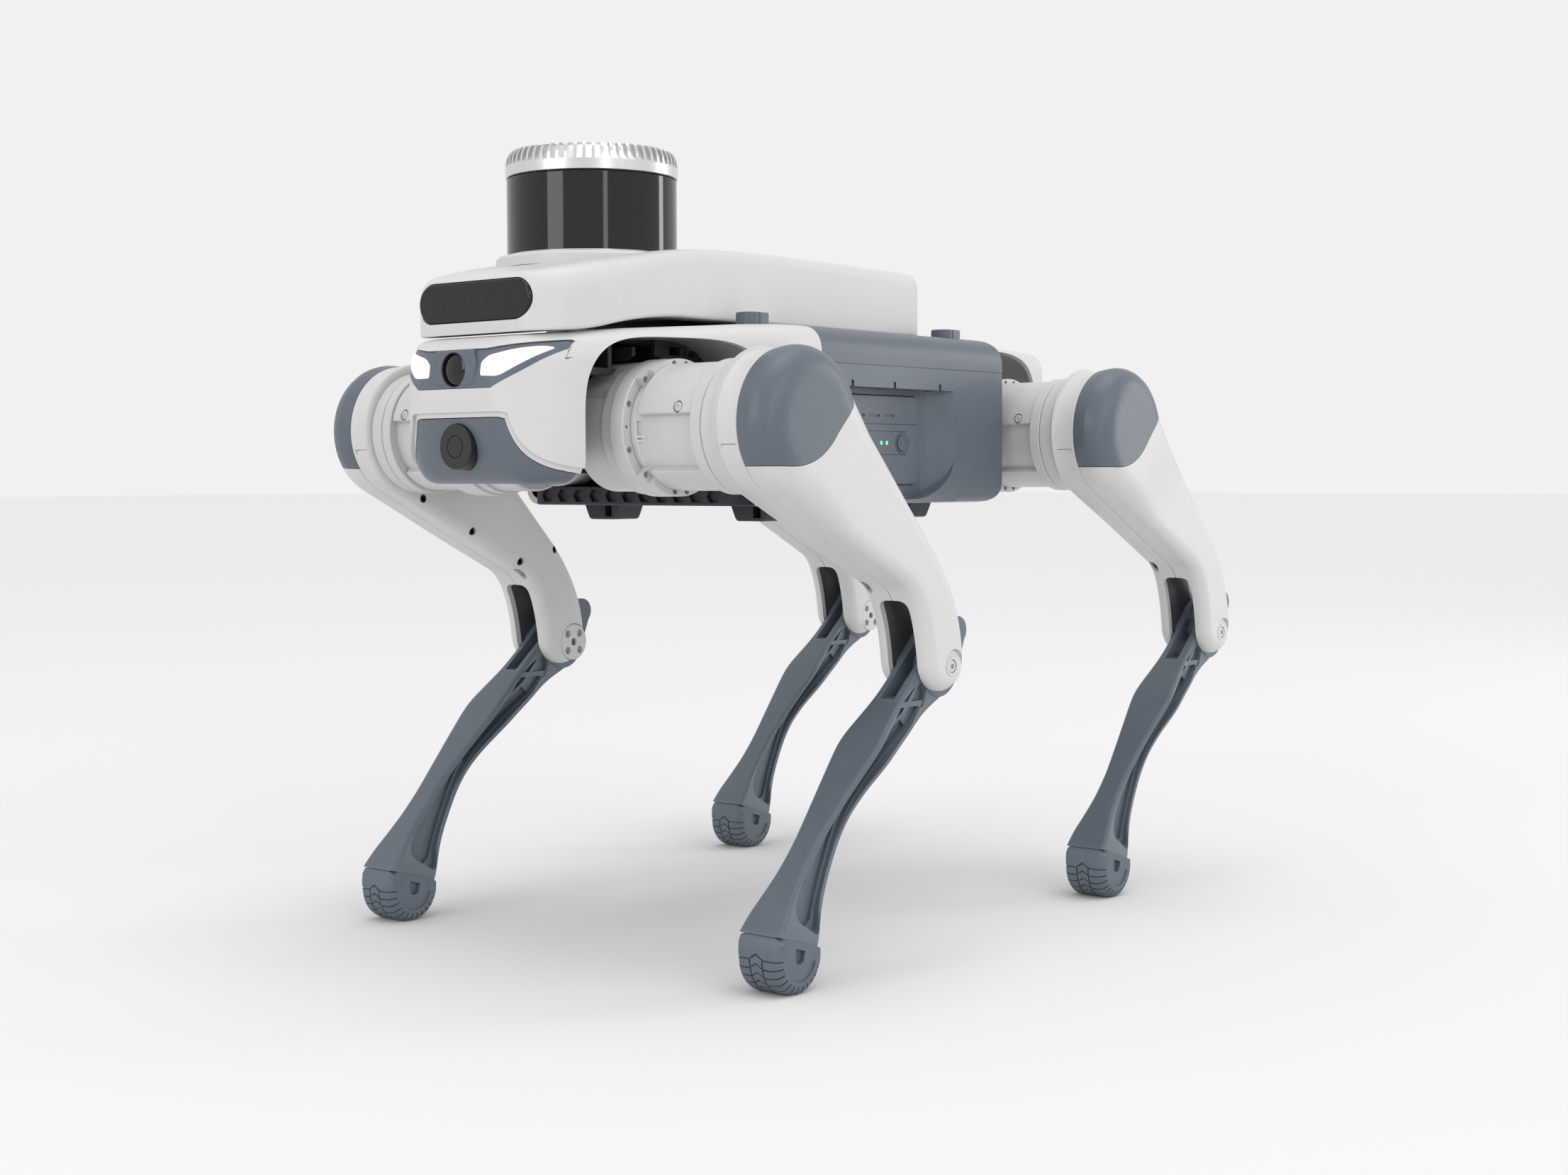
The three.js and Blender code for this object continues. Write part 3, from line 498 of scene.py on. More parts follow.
def cap_region(margin):
    edge = [(70, -22.5), *bend((26, -22.5), (-3, -24.5), (-19, -4), 14), *bend((-36, 13), (-52, 28), (-60, 48), 8)]
    return [(-60, 70), *[(x, z - margin) for x, z in reversed(edge)], (70, 70)]


def thigh_hollow():
    body = prism(inset(thigh_outline(), 3), LEG_Y - THIGH_HALF + 3, LEG_Y + THIGH_HALF - 3)
    return cut(body, knee_slot(LEG_Y - 40, LEG_Y + 40))


def shade_sheet_solid(grow=0.0):
    """Two thin dark sheets on the inner faces of the knee fork, painted shade standing in for the shadow inside the
    fork.
    """
    shape = prism(inset(thigh_outline(), 4.4 - grow), LEG_Y - 30, LEG_Y + 30)
    sheets = [box(FORK_START - 2, 206, *sorted((LEG_Y + side * (HUB_HALF + 0.3), LEG_Y + side * (HUB_HALF + 1.3 + grow))), -80, 80) for side in (1, -1)]
    turn = Matrix.Rotation(-math.radians(THIGH_ANGLE), 4, "Y")
    return common(shape, moved(together(*sheets), turn))


def outer_body():
    nothing = along_thigh(0, 0)
    groove = 0.45
    bulge = along_thigh(1.3, 0)
    wall = [
        (0.012, lambda p: bulge(p) + groove),
        (0.05, bulge),
        (0.35, lambda p: bulge(p) * 0.55),
        (0.7, lambda p: bulge(p) * 0.15),
        (0.97, nothing),
    ]
    return relief(thigh_outline(), 3.2, wall, along_thigh(9.5, 12.6), along_thigh(16, 8.2), along_thigh(24.4, 20.2), LEG_Y, 1)


def inner_body():
    groove = 0.45
    slant = along_thigh(3.6, 0)
    bulge = along_thigh(1.3, 0)
    wall = [
        (0.012, lambda p: bulge(p) + groove),
        (0.05, bulge),
        (0.5, lambda p: bulge(p) + slant(p) * 0.45),
        (0.97, lambda p: slant(p) * 0.55),
    ]
    return relief(thigh_outline(), 3.2, wall, along_thigh(15.6, 12.6), along_thigh(5.2, 8.2), along_thigh(18.2, 20.2), LEG_Y, -1)


def screw_hole(centre, radius, low, high, axis="Y"):
    """A bore whose mouth is rounded on both ends."""
    return turned([(radius + 0.5, low - 0.5), (radius, low + 0.1), (radius, high - 0.1), (radius + 0.5, high + 0.5)], centre, axis, 32)


def screw_head(centre, radius, low, high, axis="Y", outwards=1):
    body = disc(centre, radius, low, high, axis, 32, 0.25)
    top = high if outwards > 0 else low
    socket = prism(arc(centre, radius * 0.52, 0, 300, 5), *sorted((top - outwards * radius * 0.7, top + outwards)), axis)
    return cut(body, socket)


INNER_SCREWS = [(-4, -42), (-46, -64), (-89.5, -85.5), (-122, -78.5), (-66, -20)]


def thigh_pieces(put):
    low, high = LEG_Y - HUB_HALF - 0.4, LEG_Y + HUB_HALF + 0.4
    slot_tool = prism(rounded([(FORK_START, low, 7), (260, low), (260, high), (FORK_START, high, 7)]), -80, 80, "Z")
    slot_tool = moved(slot_tool, Matrix.Rotation(-math.radians(THIGH_ANGLE), 4, "Y"))
    hollow = thigh_hollow()
    outer = cut(outer_body(), hollow, slot_tool)
    region = prism(cap_region(0), LEG_Y - 5, 200)
    white = cut(outer, prism(cap_region(0.35), LEG_Y - 5, 200))
    cap = common(outer, region)
    recess = disc(KNEE, 10.6, LEG_Y + THIGH_HALF - 2.4, 200)
    white = cut(white, recess, shade_sheet_solid(0.15))
    put("thigh_cover", softened(white, 0.5), WHITE, "thigh", "white_shell", "thigh_outer")
    put("hip_cap_shell", softened(cap, 0.7, 3), SLATE, "thigh", "slate_shell", "hip_cap")
    inner = inner_body()
    holes = [screw_hole(c, 2.7, LEG_Y - THIGH_HALF - 4, LEG_Y - THIGH_HALF + 7) for c in INNER_SCREWS]
    side_slot = box(37, 60, 147.2, 158.2, -17.4, -10.6)
    underside = Matrix.Translation((-95.5, LEG_Y - 13.2, -93.4)) @ Matrix.Rotation(math.radians(-38), 4, "Y")
    scoop = prism([*arc((4, 0), 2.3, -90, 90, 10), *arc((-4, 0), 2.3, 90, 270, 10)], -9, 6, "Z")
    spots = [KNEE] + [tuple(c) for c in arc(KNEE, 8.2, 45, 315, 3)]
    low = LEG_Y - THIGH_HALF + 0.2
    knee_seat = disc(KNEE, 12.9, low - 3, low + 5.4)
    shade_sheet = shade_sheet_solid()
    inner = cut(inner, hollow, slot_tool, *holes, knee_seat, side_slot, moved(scoop, underside), shade_sheet_solid(0.15))
    put("thigh_shell", softened(inner, 0.5), WHITE, "thigh", "white_shell", "thigh_inner")
    screws = [screw_head(c, 2.65, LEG_Y - THIGH_HALF + 2.1, LEG_Y - THIGH_HALF + 5, outwards=-1) for c in INNER_SCREWS]
    put("thigh_screws", together(*screws), BLACK_SCREW, "thigh", "steel")
    # output ring beside the thigh, and the knee's end discs
    ring = turned([(36, 132.8), (38, 132.8), (38.5, 133.3), (38.5, 141.4), (37.9, 142), (36, 142)])
    put("output_ring", ring, WHITE_METAL, "thigh", "white_metal")
    # Painted shade: dark sheets inside the knee fork stand in for the fork's shadow.
    put("knee_lining", shade_sheet, PAINTED_SHADE, "thigh", "dark_frame")
    plate = cut(disc(KNEE, 12.5, low, low + 5.2, bevel=0.4), *[disc(c, 2.6, low - 1, low + 3.6, sides=32) for c in spots])
    put("knee_disc", plate, WHITE, "thigh", "white_shell")
    high = LEG_Y + THIGH_HALF - 2.4
    cover = together(
        turned([(10.3, high - 0.6), (10.3, high), (9.4, high + 0.35), (6.1, high + 0.35), (5.7, high + 0.9), (4.2, high + 0.9), (4.2, high - 0.6)], KNEE),
        screw_head(KNEE, 3.6, high - 0.4, high + 0.6),
    )
    put("knee_cover", cover, WHITE, "thigh", "white_shell")


# ---------------------------------------------------------------- leg: hip bracket and actuator
def sector(inner, outer, start, end, low, high):
    steps = max(4, int(abs(end - start) / 3))
    ring = [*arc((0, 0), outer, start, end, steps), *reversed(arc((0, 0), inner, start, end, steps))]
    return prism(ring, low, high)


def bracket_pieces(put, end):
    barrel = turned([(36, 34), (37, 35), (37, 57.8)])
    barrel = join(barrel, sector(30, 38.6, 62, 118, 38, 57.8))
    hub_end = HIP_X - BAY_X - GAP
    hub = disc((62, 0), 15, *sorted((-end * hub_end, -end * 30)), "X", bevel=0.6)
    barrel = join(barrel, hub)
    barrel = cut(barrel, screw_hole((32.6, 19.5), 2.6, 30, 60), screw_hole((-32.6, 19.5), 2.6, 30, 60))
    put("bracket_barrel", softened(barrel, 0.4), WHITE_METAL, "hip", "white_metal", "hip_bracket")
    rim_in = turned([(37, 57.9), (38.2, 57.9), (38.6, 58.3), (38.6, 64.9), (38.2, 65.3), (37, 65.3)])
    flange = turned([(38, 65.6), (39.4, 65.6), (39.9, 66.2), (39.9, 75.2), (39.4, 75.8), (38, 75.8)])
    face = disc((0, 0), 33.6, 70.5, 90)
    spots = [(0, 1.0), (21, 1.9), (-21, 1.9), (159, 1.9), (201, 1.9), (180, 1.0)]
    bores = [screw_hole(arc((0, 0), 36.4, angle, angle + 1, 1)[0], radius, 71, 78) for angle, radius in spots]
    ears = [sector(31, 39.8, start, stop, 74, 84.5) for start, stop in ((44, 136), (224, 316))]
    steps = [sector(34.6, 42, start, stop, 80.5, 90) for start, stop in ((40, 54), (126, 140), (220, 234), (306, 320))]
    ear_bores = [screw_hole(arc((0, 0), 37, angle, angle + 1, 1)[0], 1.9, 75, 90) for angle in (47, 82, 98, 133, 227, 262, 278, 313)]
    flange = cut(join(cut(flange, face), *ears), *bores, *steps, *ear_bores)
    put("bracket_rim", rim_in, WHITE_METAL, "hip", "white_metal")
    put("bracket_flange", softened(flange, 0.45), WHITE_METAL, "hip", "white_metal")


def actuator_pieces(put):
    collar = turned([(31, 70.6), (33.2, 70.6), (33.2, 79), (32.4, 80), (31, 80)])
    put("actuator_collar", collar, WHITE_METAL, "hip", "white_metal")
    can = turned([(31.5, 76.1), (32.6, 77), (32.6, 124.9), (31.5, 124.9)])
    crown_block = softened(sector(20, 37.2, 11, 80, 84, 124.8), 1.6, 3)
    keel_block = softened(sector(20, 36.4, 258, 316, 84, 124.8), 1.6, 3)
    rear_block = softened(sector(20, 36.8, 112, 172, 83, 124.8), 1.6, 3)
    rear_keel = softened(sector(20, 36.4, 196, 244, 83, 124.8), 1.6, 3)
    can = join(can, crown_block, keel_block, rear_block, rear_keel)
    boss_seat = moved(disc((0, 0), 3.4, 30, 60, "X"), Matrix.Translation((0, 114, 10.6)))
    can = cut(can, boss_seat, sector(31.2, 42, -16, 6, 76, 83.5))
    stud = moved(turned([(1.2, 31), (2.7, 31), (2.7, 35.2), (2.3, 35.6), (1.3, 35.6), (1.2, 35)], (0, 0), "X", 32), Matrix.Translation((0, 114, 10.6)))
    can = join(can, stud)
    put("actuator_can", softened(can, 0.45), WHITE_METAL, "hip", "white_metal", "thigh_actuator")
    plug = together(sector(30.8, 32.9, -15.5, -12.8, 79, 87.5), sector(30.8, 32.9, -11, -8.6, 79, 87.5))
    put("actuator_plug", plug, WHITE, "hip", "white_shell")
    ring = turned([(36, 124.9), (38, 124.9), (38.5, 125.4), (38.5, 131.8), (38, 132.4), (36, 132.4)])
    put("actuator_ring", ring, WHITE_METAL, "hip", "white_metal")


# ---------------------------------------------------------------- leg: shank and foot
SHANK_CUT = ((211.8, 23.5), (193.6, -14.6))
# distance from the knee: half width, front, rear
SHANK_STATIONS = [
    (10, 10.2, 15.6, -16.4), (24, 10.2, 16.9, -10.4), (32, 10.5, 17.6, -7.4), (40, 11.0, 18.4, -5.4), (50, 12.1, 19.8, -3.2), (60, 13.4, 21.3, -0.2), (70, 14.9, 22.7, 2.7),
    (79, 15.7, 23.3, 5.0), (90, 14.8, 23.8, 7.1), (100, 13.6, 24.2, 8.9), (110, 12.5, 24.6, 10.0), (120, 11.4, 24.9, 10.3),
    (130, 10.5, 25.0, 9.2), (140, 9.6, 25.1, 6.7), (150, 9.0, 25.0, 3.3), (160, 9.0, 25.0, 0.1), (170, 9.4, 24.9, -3.6),
    (180, 10.5, 25.0, -8.2), (190, 12.2, 24.8, -13.2), (200, 14.2, 24.6, -15.0), (214, 15.3, 24.0, -15.4),
]


def station(s):
    table = np.array(SHANK_STATIONS)
    return [float(np.interp(s, table[:, 0], table[:, k])) for k in (1, 2, 3)]


def shank_solid():
    rings = []
    for s in np.linspace(10, 214, 86):
        half, front, rear = (np.mean([station(s + d)[k] for d in (-4, -2, 0, 2, 4)]) for k in range(3))
        back = max(7.6, half * 0.86)
        ring = rounded([(-half, front, 3.4), (-back, rear, 2.6), (back, rear, 2.6), (half, front, 3.4)], 6)
        rings.append([(s, y, n) for y, n in ring])
    body = skinned(rings)
    hub = disc((0, 0), 19, -HUB_HALF, HUB_HALF, sides=96, bevel=0.8)
    web = pillow([*arc((-28, 0), 8.7, 90, 270, 20), *arc((0, 0), 18.4, -100, 100, 30)], -HUB_HALF, HUB_HALF, (0.8, 0.8))
    cutter = prism([SHANK_CUT[1], SHANK_CUT[0], (250, 60), (250, -60), (185, -32)], -30, 30)
    throat = prism(rounded([(-50, -40), (25, -40), (25, 3), (31, 8, 4), (43, 20), (46, 40), (-50, 40)]), -5, 5)
    flat = prism([(-40, 13.4), (-4, 14.2), (24, 16.6), (24, 40), (-40, 40)], -30, 30)
    bosses = join(disc((0, 0), 8.4, -7, 7), disc((-28, 0), 3, -7, 7))
    return cut(join(body, hub, web), cutter, flat, cut(throat, bosses), disc((0, 0), 5.3, -20, 20))


def shank_pockets():
    """The long side recess: crossed ribs near the knee, an open channel between front plate and rear rim below."""
    front_side = [(s, station(s)[1] - 3.4) for s in range(56, 183, 6)]
    rear_side = [(s, station(s)[2] + 4.0) for s in range(44, 187, 6)]
    crown = rounded([(30, -3.4, 3), (19.4, 1.2, 4), (19.2, 8.2, 1.5), (27, 12.6), (42, 16.4)], 5)
    toe = [*bend((186, 20.6), (195, 19.4), (194, 10), 6), (191, -2), *bend((190, -7), (188, -10.4), (184, -9), 5)]
    channel = [*crown, *front_side, *toe, *reversed(rear_side[:-1])]
    rim = prism(channel, 8.6, 30)
    deep = prism(inset(channel, 0.9), 3.4, 30)
    diagonal = prism(rounded([(22.4, -4.9), (24.9, -6.9), (47.5, 17.6), (45, 19.9)]), 0, 8.6)
    tail = prism([(18, 8.1), (44, 8.1), (66, 10.4), (66, 12.6), (44, 10.6), (18, 10.5)], 0, 8.6)
    slope = prism([(44, 8.8), (44, 30), (90, 30), (90, 3.2), (66, 3.2)], -40, 40, "Z")
    trough = [(s, station(s)[2] + 7.4) for s in range(118, 187, 6)]
    step = prism([*trough, (198, 0), (198, -30), (112, -30)], 3.2, 5.6)
    bump = pillow(arc((169.5, 20.6), 5.6, 0, 345, 23), 2, 5.9, (0, 1.2))
    root = box(0, 47, 0, 5.9, -30, 30)
    return join(rim, cut(deep, diagonal, cut(tail, slope), step, bump, root))


def shank_pieces(put, matrix_name):
    body = shank_solid()
    channel = shank_pockets()
    body = cut(body, channel, moved(channel, Matrix.Scale(-1, 4, (0, 1, 0))))
    put("shank_body", softened(body, 0.7, 3), SLATE_LEG, "lower_leg", "slate_leg", "shank", matrix_name)
    foot_pieces(put, matrix_name)


FOOT_RADIUS = 21.3
FOOT_HALF = 15.5


def on_tread(u, y, radius):
    angle = u / FOOT_RADIUS
    return (SHANK_LENGTH + radius * math.cos(angle), y, radius * math.sin(angle))


def tread_groove(outline, depth):
    """A groove drawn in arc length and width, wrapped round the foot."""
    return skinned([[on_tread(u, y, radius) for u, y in outline] for radius in (FOOT_RADIUS - depth, FOOT_RADIUS + 3)])


def shoulder_groove(u, side, half):
    """The straight end of a groove, following the foot's rounded shoulder down to the side face."""
    curve = []
    for degrees in range(0, 81, 10):
        a = math.radians(degrees)
        curve.append((FOOT_RADIUS - 6.2 + (6.2 - 1.2) * math.cos(a), FOOT_HALF - 6.2 + (6.2 - 1.2) * math.sin(a)))
    section = [(FOOT_RADIUS - 1.3, 4.4), *curve, (14.6, 20), (26, 20), (26, 4.4)]
    slab = prism([(r, y) for r, y in section], -half, half, "Z")
    turn = Matrix.Translation((SHANK_LENGTH, 0, 0)) @ Matrix.Rotation(-u / FOOT_RADIUS, 4, "Y") @ Matrix.Diagonal((1, side, 1, 1))
    return moved(slab, turn)


def foot_pieces(put, matrix_name):
    shoulder = 6.2
    rims = [(FOOT_RADIUS - shoulder * (1 - math.cos(math.radians(a))), FOOT_HALF - shoulder * (1 - math.sin(math.radians(a)))) for a in range(0, 91, 9)]
    profile = [(r, -y) for r, y in reversed(rims)] + rims
    wheel = turned(profile, (SHANK_LENGTH, 0), "Y", 120)
    front, rear = SHANK_CUT
    slope = ((front[0] - rear[0]) / 2, (front[1] - rear[1]) / 2)
    gap = 0.1
    above = [(rear[0] - slope[0] + gap, rear[1] - slope[1]), (front[0] + slope[0] + gap, front[1] + slope[1]), (150, 60), (150, -60)]
    height = STAND_HEIGHT + KNEE[1] - SHANK_LENGTH * math.sin(SHANK_TURN)
    ground = moved(box(-40, 40, -40, 40, -60, -height), Matrix.Translation((SHANK_LENGTH, 0, 0)) @ Matrix.Rotation(-SHANK_TURN, 4, "Y"))
    pitch = 5.2
    half = 0.5
    grooves = []
    for i in range(12):
        u = 18.4 - i * pitch
        line = [(-4.9, 0), (0, 3.1), (4.9, 0)]
        outline = [(u + du + half, y) for y, du in line] + [(u + du - half, y) for y, du in reversed(line)]
        grooves.append(tread_groove(outline, 1.3))
        for y in (-4.4, 4.4):
            grooves.append(tread_groove([(u - pitch + 0.3, y - half), (u - 0.3, y - half), (u - 0.3, y + half), (u - pitch + 0.3, y + half)], 1.3))
        grooves += [shoulder_groove(u, side, half) for side in (1, -1)]
    collar = pillow([(196, -6), (212.15, 23.3), (216.6, 22.6), (221.2, 19), (225.2, 14.6), (214, -4)], -15.2, 15.2, (5, 5), steps=6)
    wheel = join(wheel, collar)
    plate = join(disc((SHANK_LENGTH, 0), 13.4, -1.2, 1.2), prism([(203.6, -12.1), (201, -18.4), (186, -22), (206, 20), (211.5, 15.6), (216.2, 12.1)], -1.2, 1.2))
    hole = prism([(204.2, -1.4), (207.9, 6.3), *bend((211.4, 4.4), (216.6, -1.6), (209.6, -4.2), 8)], -4, 4)
    sides = [moved(tool, Matrix.Translation((0, sign * FOOT_HALF, 0))) for sign in (1, -1) for tool in (plate, hole)]
    body = cut(wheel, prism(above, -30, 30), ground, *grooves, *sides)
    put("foot_tread", softened(body, 0.25), TREAD, "lower_leg", "foot_rubber", "foot", matrix_name)


def build_legs():
    """Every leg piece is made once about a left hip, and placed at the four corners."""
    kept = {}

    def recorder(store):
        def put(name, mesh, finish, body, slot, node=None, frame_name="hip"):
            store.append((name, mesh, finish, body, slot, node, frame_name))

        return put

    shared = []
    thigh_pieces(recorder(shared))
    actuator_pieces(recorder(shared))
    shank_pieces(recorder(shared), "shank")
    for end in (1, -1):
        kept[end] = []
        bracket_pieces(recorder(kept[end]), end)
    lower = Matrix.Translation((KNEE[0], LEG_Y, KNEE[1])) @ Matrix.Rotation(SHANK_TURN, 4, "Y")
    for corner, end, side in CORNERS:
        base = TRUNK @ Matrix.Translation((end * HIP_X, 0, 0)) @ Matrix.Diagonal((1, side, 1, 1))
        for name, mesh, finish, body, slot, node, frame_name in shared + kept[end]:
            matrix = base @ lower if frame_name == "shank" else base
            nodes = [f"{corner}_{node}"] if node else []
            place(f"{corner}_{name}", mesh, finish, f"{corner}_{body}", slot, matrix, nodes)
        repaint(STEEL, f"{corner}_knee_crank", f"{corner}_push_rod", f"{corner}_knee_axle")


build_legs()


# ---------------------------------------------------------------- trunk shells
HEAD_TOP = [(64, 64), *bend((70, 64), (105, 64), (140, 61), 8), (200, 57), (240, 53.4), *bend((256, 51.6), (269, 50), (271.4, 39), 14), *bend((271.6, 37), (273, 29), (273, 20), 8)]
HEAD_BOTTOM = [(64, -46), (127.9, -46), (128, -34), (236, -34), *bend((250, -34), (264, -33.5), (268, -18), 14), *bend((268.4, -17), (272.8, -2), (273, 20), 10)]
HEAD_HALF = [(64, 107), (100, 106.6), *bend((104, 106), (128, 102), (150, 94), 10), *bend((154, 92.6), (190, 81), (228, 69), 14), *bend((230, 68.4), (258, 57), (266.5, 43.5), 14), *bend((267, 42.6), (272, 34.5), (273, 28), 8)]


def along(profile, x):
    points = np.array(sorted(profile))
    return float(np.interp(x, points[:, 0], points[:, 1]))


def head_section(x, shrink):
    """Front-view outline of the front shell at a length, drawn in by a wall thickness."""
    here = x + shrink * smooth_step(x, 230, 262)
    top = along(HEAD_TOP, here) - shrink
    bottom = along(HEAD_BOTTOM, here) + shrink
    half = along(HEAD_HALF, here) - shrink
    room = (top - bottom) / 2
    upper = min(18, room * 0.9, half * 0.9)
    lower = min(12 + 6 * smooth_step(x, 200, 250), room * 0.9, half * 0.9)
    return rounded([(half, bottom, lower), (half, top, upper), (-half, top, upper), (-half, bottom, lower)], 10)


def head_body(shrink=0.0):
    last = HEAD_FRONT - 0.02 - shrink
    lengths = [*np.linspace(SEAM_X, 127.8, 13), 128.1, *np.linspace(134, 250, 26), *[last - 23 * (1 - math.sin(math.radians(a))) for a in range(2, 90, 3)], last]
    return skinned([[(x, y, z) for y, z in divided_corners(head_section(x, shrink))] for x in sorted(lengths)])


def divided_corners(ring, share=6):
    """Splits the long flats between rounded corners, always into the same count."""
    made = []
    for i, (a, b) in enumerate(zip(ring, ring[1:] + ring[:1])):
        count = share if i % 11 == 10 else 1
        made.extend((a[0] + (b[0] - a[0]) * k / count, a[1] + (b[1] - a[1]) * k / count) for k in range(count))
    return made


def bay(centre, radius, top, grow=0.0):
    """Side-view opening round a hip, open at the bottom."""
    reach = radius + grow
    turns = [math.radians(3 * i) for i in range(61)]
    power = 2 / 3.4
    crown = [(math.copysign(abs(math.cos(a)) ** power, math.cos(a)), math.sin(a) ** power) for a in turns]
    return [(centre + reach, -90), *[(centre + reach * x, (top + grow) * max(z, 0)) for x, z in crown], (centre - reach, -90)]


def bays(centre, radius, top, grow=0.0):
    return [prism(bay(centre, radius, top, grow), low, high) for low, high in ((20, 150), (-150, -20))]


def chin_region(margin):
    half = [(0, 5), (32, 5), *bend((36, 4), (42, -21), (62, -27), 12), (84, -29)]
    half = [(y + margin, z + margin) for y, z in half]
    return [*[(-y, z) for y, z in half[1:]], (-84, -60), (84, -60), *reversed(half[1:])]


def visor_region(margin):
    half = rounded([(30, 22), (47, 31.5, 5), (62, 44.2, 2), (62, 48.6, 3), (45, 46.2, 4), (24, 43.6)], 5)
    whole = [*half, *[(-y, z) for y, z in reversed(half)]]
    return inset(whole, -margin)


def eye_region(margin):
    half = rounded([(21.5, 28.6, 1.5), (34, 28.4, 3), (46, 35.6, 3), (57, 43.9, 2), (53, 44.9, 2), (44, 43.6, 3), (26.5, 39.8, 2.5), (21.5, 36, 2)], 5)
    return inset(half, -margin) if margin else half


def lug_hole(x, side):
    return prism(rounded([(x - 9.4, side * LUG_Y - 7.9, 3), (x + 9.4, side * LUG_Y - 7.9, 3), (x + 9.4, side * LUG_Y + 7.9, 3), (x - 9.4, side * LUG_Y + 7.9, 3)]), 50, 80, "Z")


def head_pieces():
    whole = head_body()
    inside = head_body(3)
    shell = cut(whole, inside, prism(rounded([(103.8, -42.8, 9), (103.8, 60.8, 15), (-103.8, 60.8, 15), (-103.8, -42.8, 9)]), 60, 74, "X"), box(60, BAY_X - 2, -90, 90, -60, -40))
    shell = cut(shell, *bays(HIP_X, 60, 52))
    ledge = common(prism(chin_region(3.4), 232, 300, "X"), cut(head_body(-2), head_body(1.5)))
    shell = cut(shell, ledge, prism(chin_region(0.5), 215, 300, "X"), box(215, 300, -84, 84, -60, -29.6))
    shell = cut(shell, prism(visor_region(0.35), 236, 300, "X"), lug_hole(LUG_FRONT, 1), lug_hole(LUG_FRONT, -1))
    shell = cut(shell, box(BAY_X - 20, 236, -20.5, 20.5, -60, -20))
    trunk_piece("front_cover", softened(shell, 1.1, 3), WHITE, "white_shell", "front_shell")
    # Painted shade: a dark sheet in the frame colour just inside the front shell's top, so the shell's underside seen
    # through the bays reads as shadow.
    shade_sheet = cut(head_body(3.15), head_body(4.4), *bays(HIP_X, 61, 51, 1), box(60, 74, -200, 200, -80, 80), box(60, 300, -200, 200, -80, 12))
    shade_sheet = cut(shade_sheet, box(230, 300, -200, 200, -80, 80), lug_hole(LUG_FRONT, 1), lug_hole(LUG_FRONT, -1))
    trunk_piece("front_lining", cut(shade_sheet, *roll_sweep()), FRAME, "dark_frame")
    # visor band with its camera, and the eye lamps
    eyes = [eye_region(0.3), flipped(eye_region(0.3))]
    band = cut(head_body(0.7), head_body(6))
    band = common(band, prism(visor_region(0), 238, 300, "X"))
    band = cut(band, disc((0, 32.5), 9.9, 200, 300, "X"), *[prism(eye, 220, 300, "X") for eye in eyes])
    trunk_piece("visor_band", softened(band, 0.35), SLATE, "slate_shell", "visor")
    nose = pillow(rounded([(-15.5, 23.4, 2), (15.5, 23.4, 2), (18.6, 34, 4), (15.5, 43.6, 2), (-15.5, 43.6, 2), (-18.6, 34, 4)]), 262, 272.85, (0, 1.6), "X")
    nose = cut(nose, disc((0, 32.5), 9.9, 200, 300, "X"))
    trunk_piece("visor_nose", nose, SLATE, "slate_shell")
    lens_rim = turned([(9.8, 262), (9.8, 272.4), (9.6, 272.7), (9.35, 272.6), (9.2, 272), (9.2, 262)], (0, 32.5), "X")
    trunk_piece("eye_camera_rim", lens_rim, SATIN, "satin_black")
    glass = turned([(9.15, 266), (9.15, 271), (8.4, 271.5), (6.6, 272.1), (4, 272.5), (1.5, 272.7), (0.4, 272.75)], (0, 32.5), "X")
    trunk_piece("eye_camera_glass", glass, GLOSS, "gloss_black", "front_camera")
    for side, region in (("left", eye_region(0)), ("right", flipped(eye_region(0)))):
        lamp = common(cut(head_body(0.35), head_body(5)), prism(region, 238, 300, "X"))
        trunk_piece(f"eye_lamp_{side}", softened(lamp, 0.3), LAMP, "lamp", f"eye_light_{side}")
    chin = common(cut(head_body(1.9), head_body(5)), prism(chin_region(0), 216, 300, "X"))
    chin = cut(chin, *bays(HIP_X, 60, 52, 2), box(200, 244, -20, 20, -60, -20), disc((0, -11), 13.3, 240, 300, "X"))
    trunk_piece("chin_shell", softened(chin, 0.6), SLATE, "slate_shell", "chin_cover")
    puck = turned([(13, 262), (13, 271.5), (12.5, 272.1), (6.6, 272.1), (6.4, 271.6), (6.2, 271.6), (6.0, 272.1), (0.4, 272.1)], (0, -11), "X")
    trunk_piece("chin_sonar", puck, SATIN, "satin_black", "sonar_disc")


def roll_sweep():
    """The room that the front brackets take while their legs roll out."""
    body = disc((0, 0), 41, 30, 100)
    tools = []
    for side in (1, -1):
        for angle in (0, 6, 12, 18, 25):
            about = Matrix.Translation((HIP_X, side * 62, 0)) @ Matrix.Rotation(side * math.radians(angle), 4, "X")
            tools.append(moved(body, about @ Matrix.Diagonal((1, side, 1, 1)) @ Matrix.Translation((0, -62, 0))))
    return tools


def trunk_piece(name, mesh, finish, slot, node=None, smooth=32):
    return place(name, mesh, finish, "trunk", slot, TRUNK, [node] if node else [], smooth)


REAR_HALF = [(-131, 101), *bend((-134, 95), (-148, 74), (-170, 72), 10), (-236, 70.5), *bend((-238, 70.4), (-246.5, 69), (-247, 58), 10)]


def rear_section(x, shrink):
    here = x - shrink * smooth_step(-x, 235, 245)
    half = along(REAR_HALF, here) - shrink
    top = along([(-247, 46), *bend((-246.9, 50), (-246.5, 60.5), (-236, 61.5), 10), (-190, 63.2), (-130, 64)], here) - shrink
    bottom = along([(-247, -18), *bend((-246.9, -20), (-246, -34), (-236, -34), 8), (-130, -34)], here) + shrink
    return rounded([(half, bottom, 8), (half, top, 14), (-half, top, 14), (-half, bottom, 8)], 10)


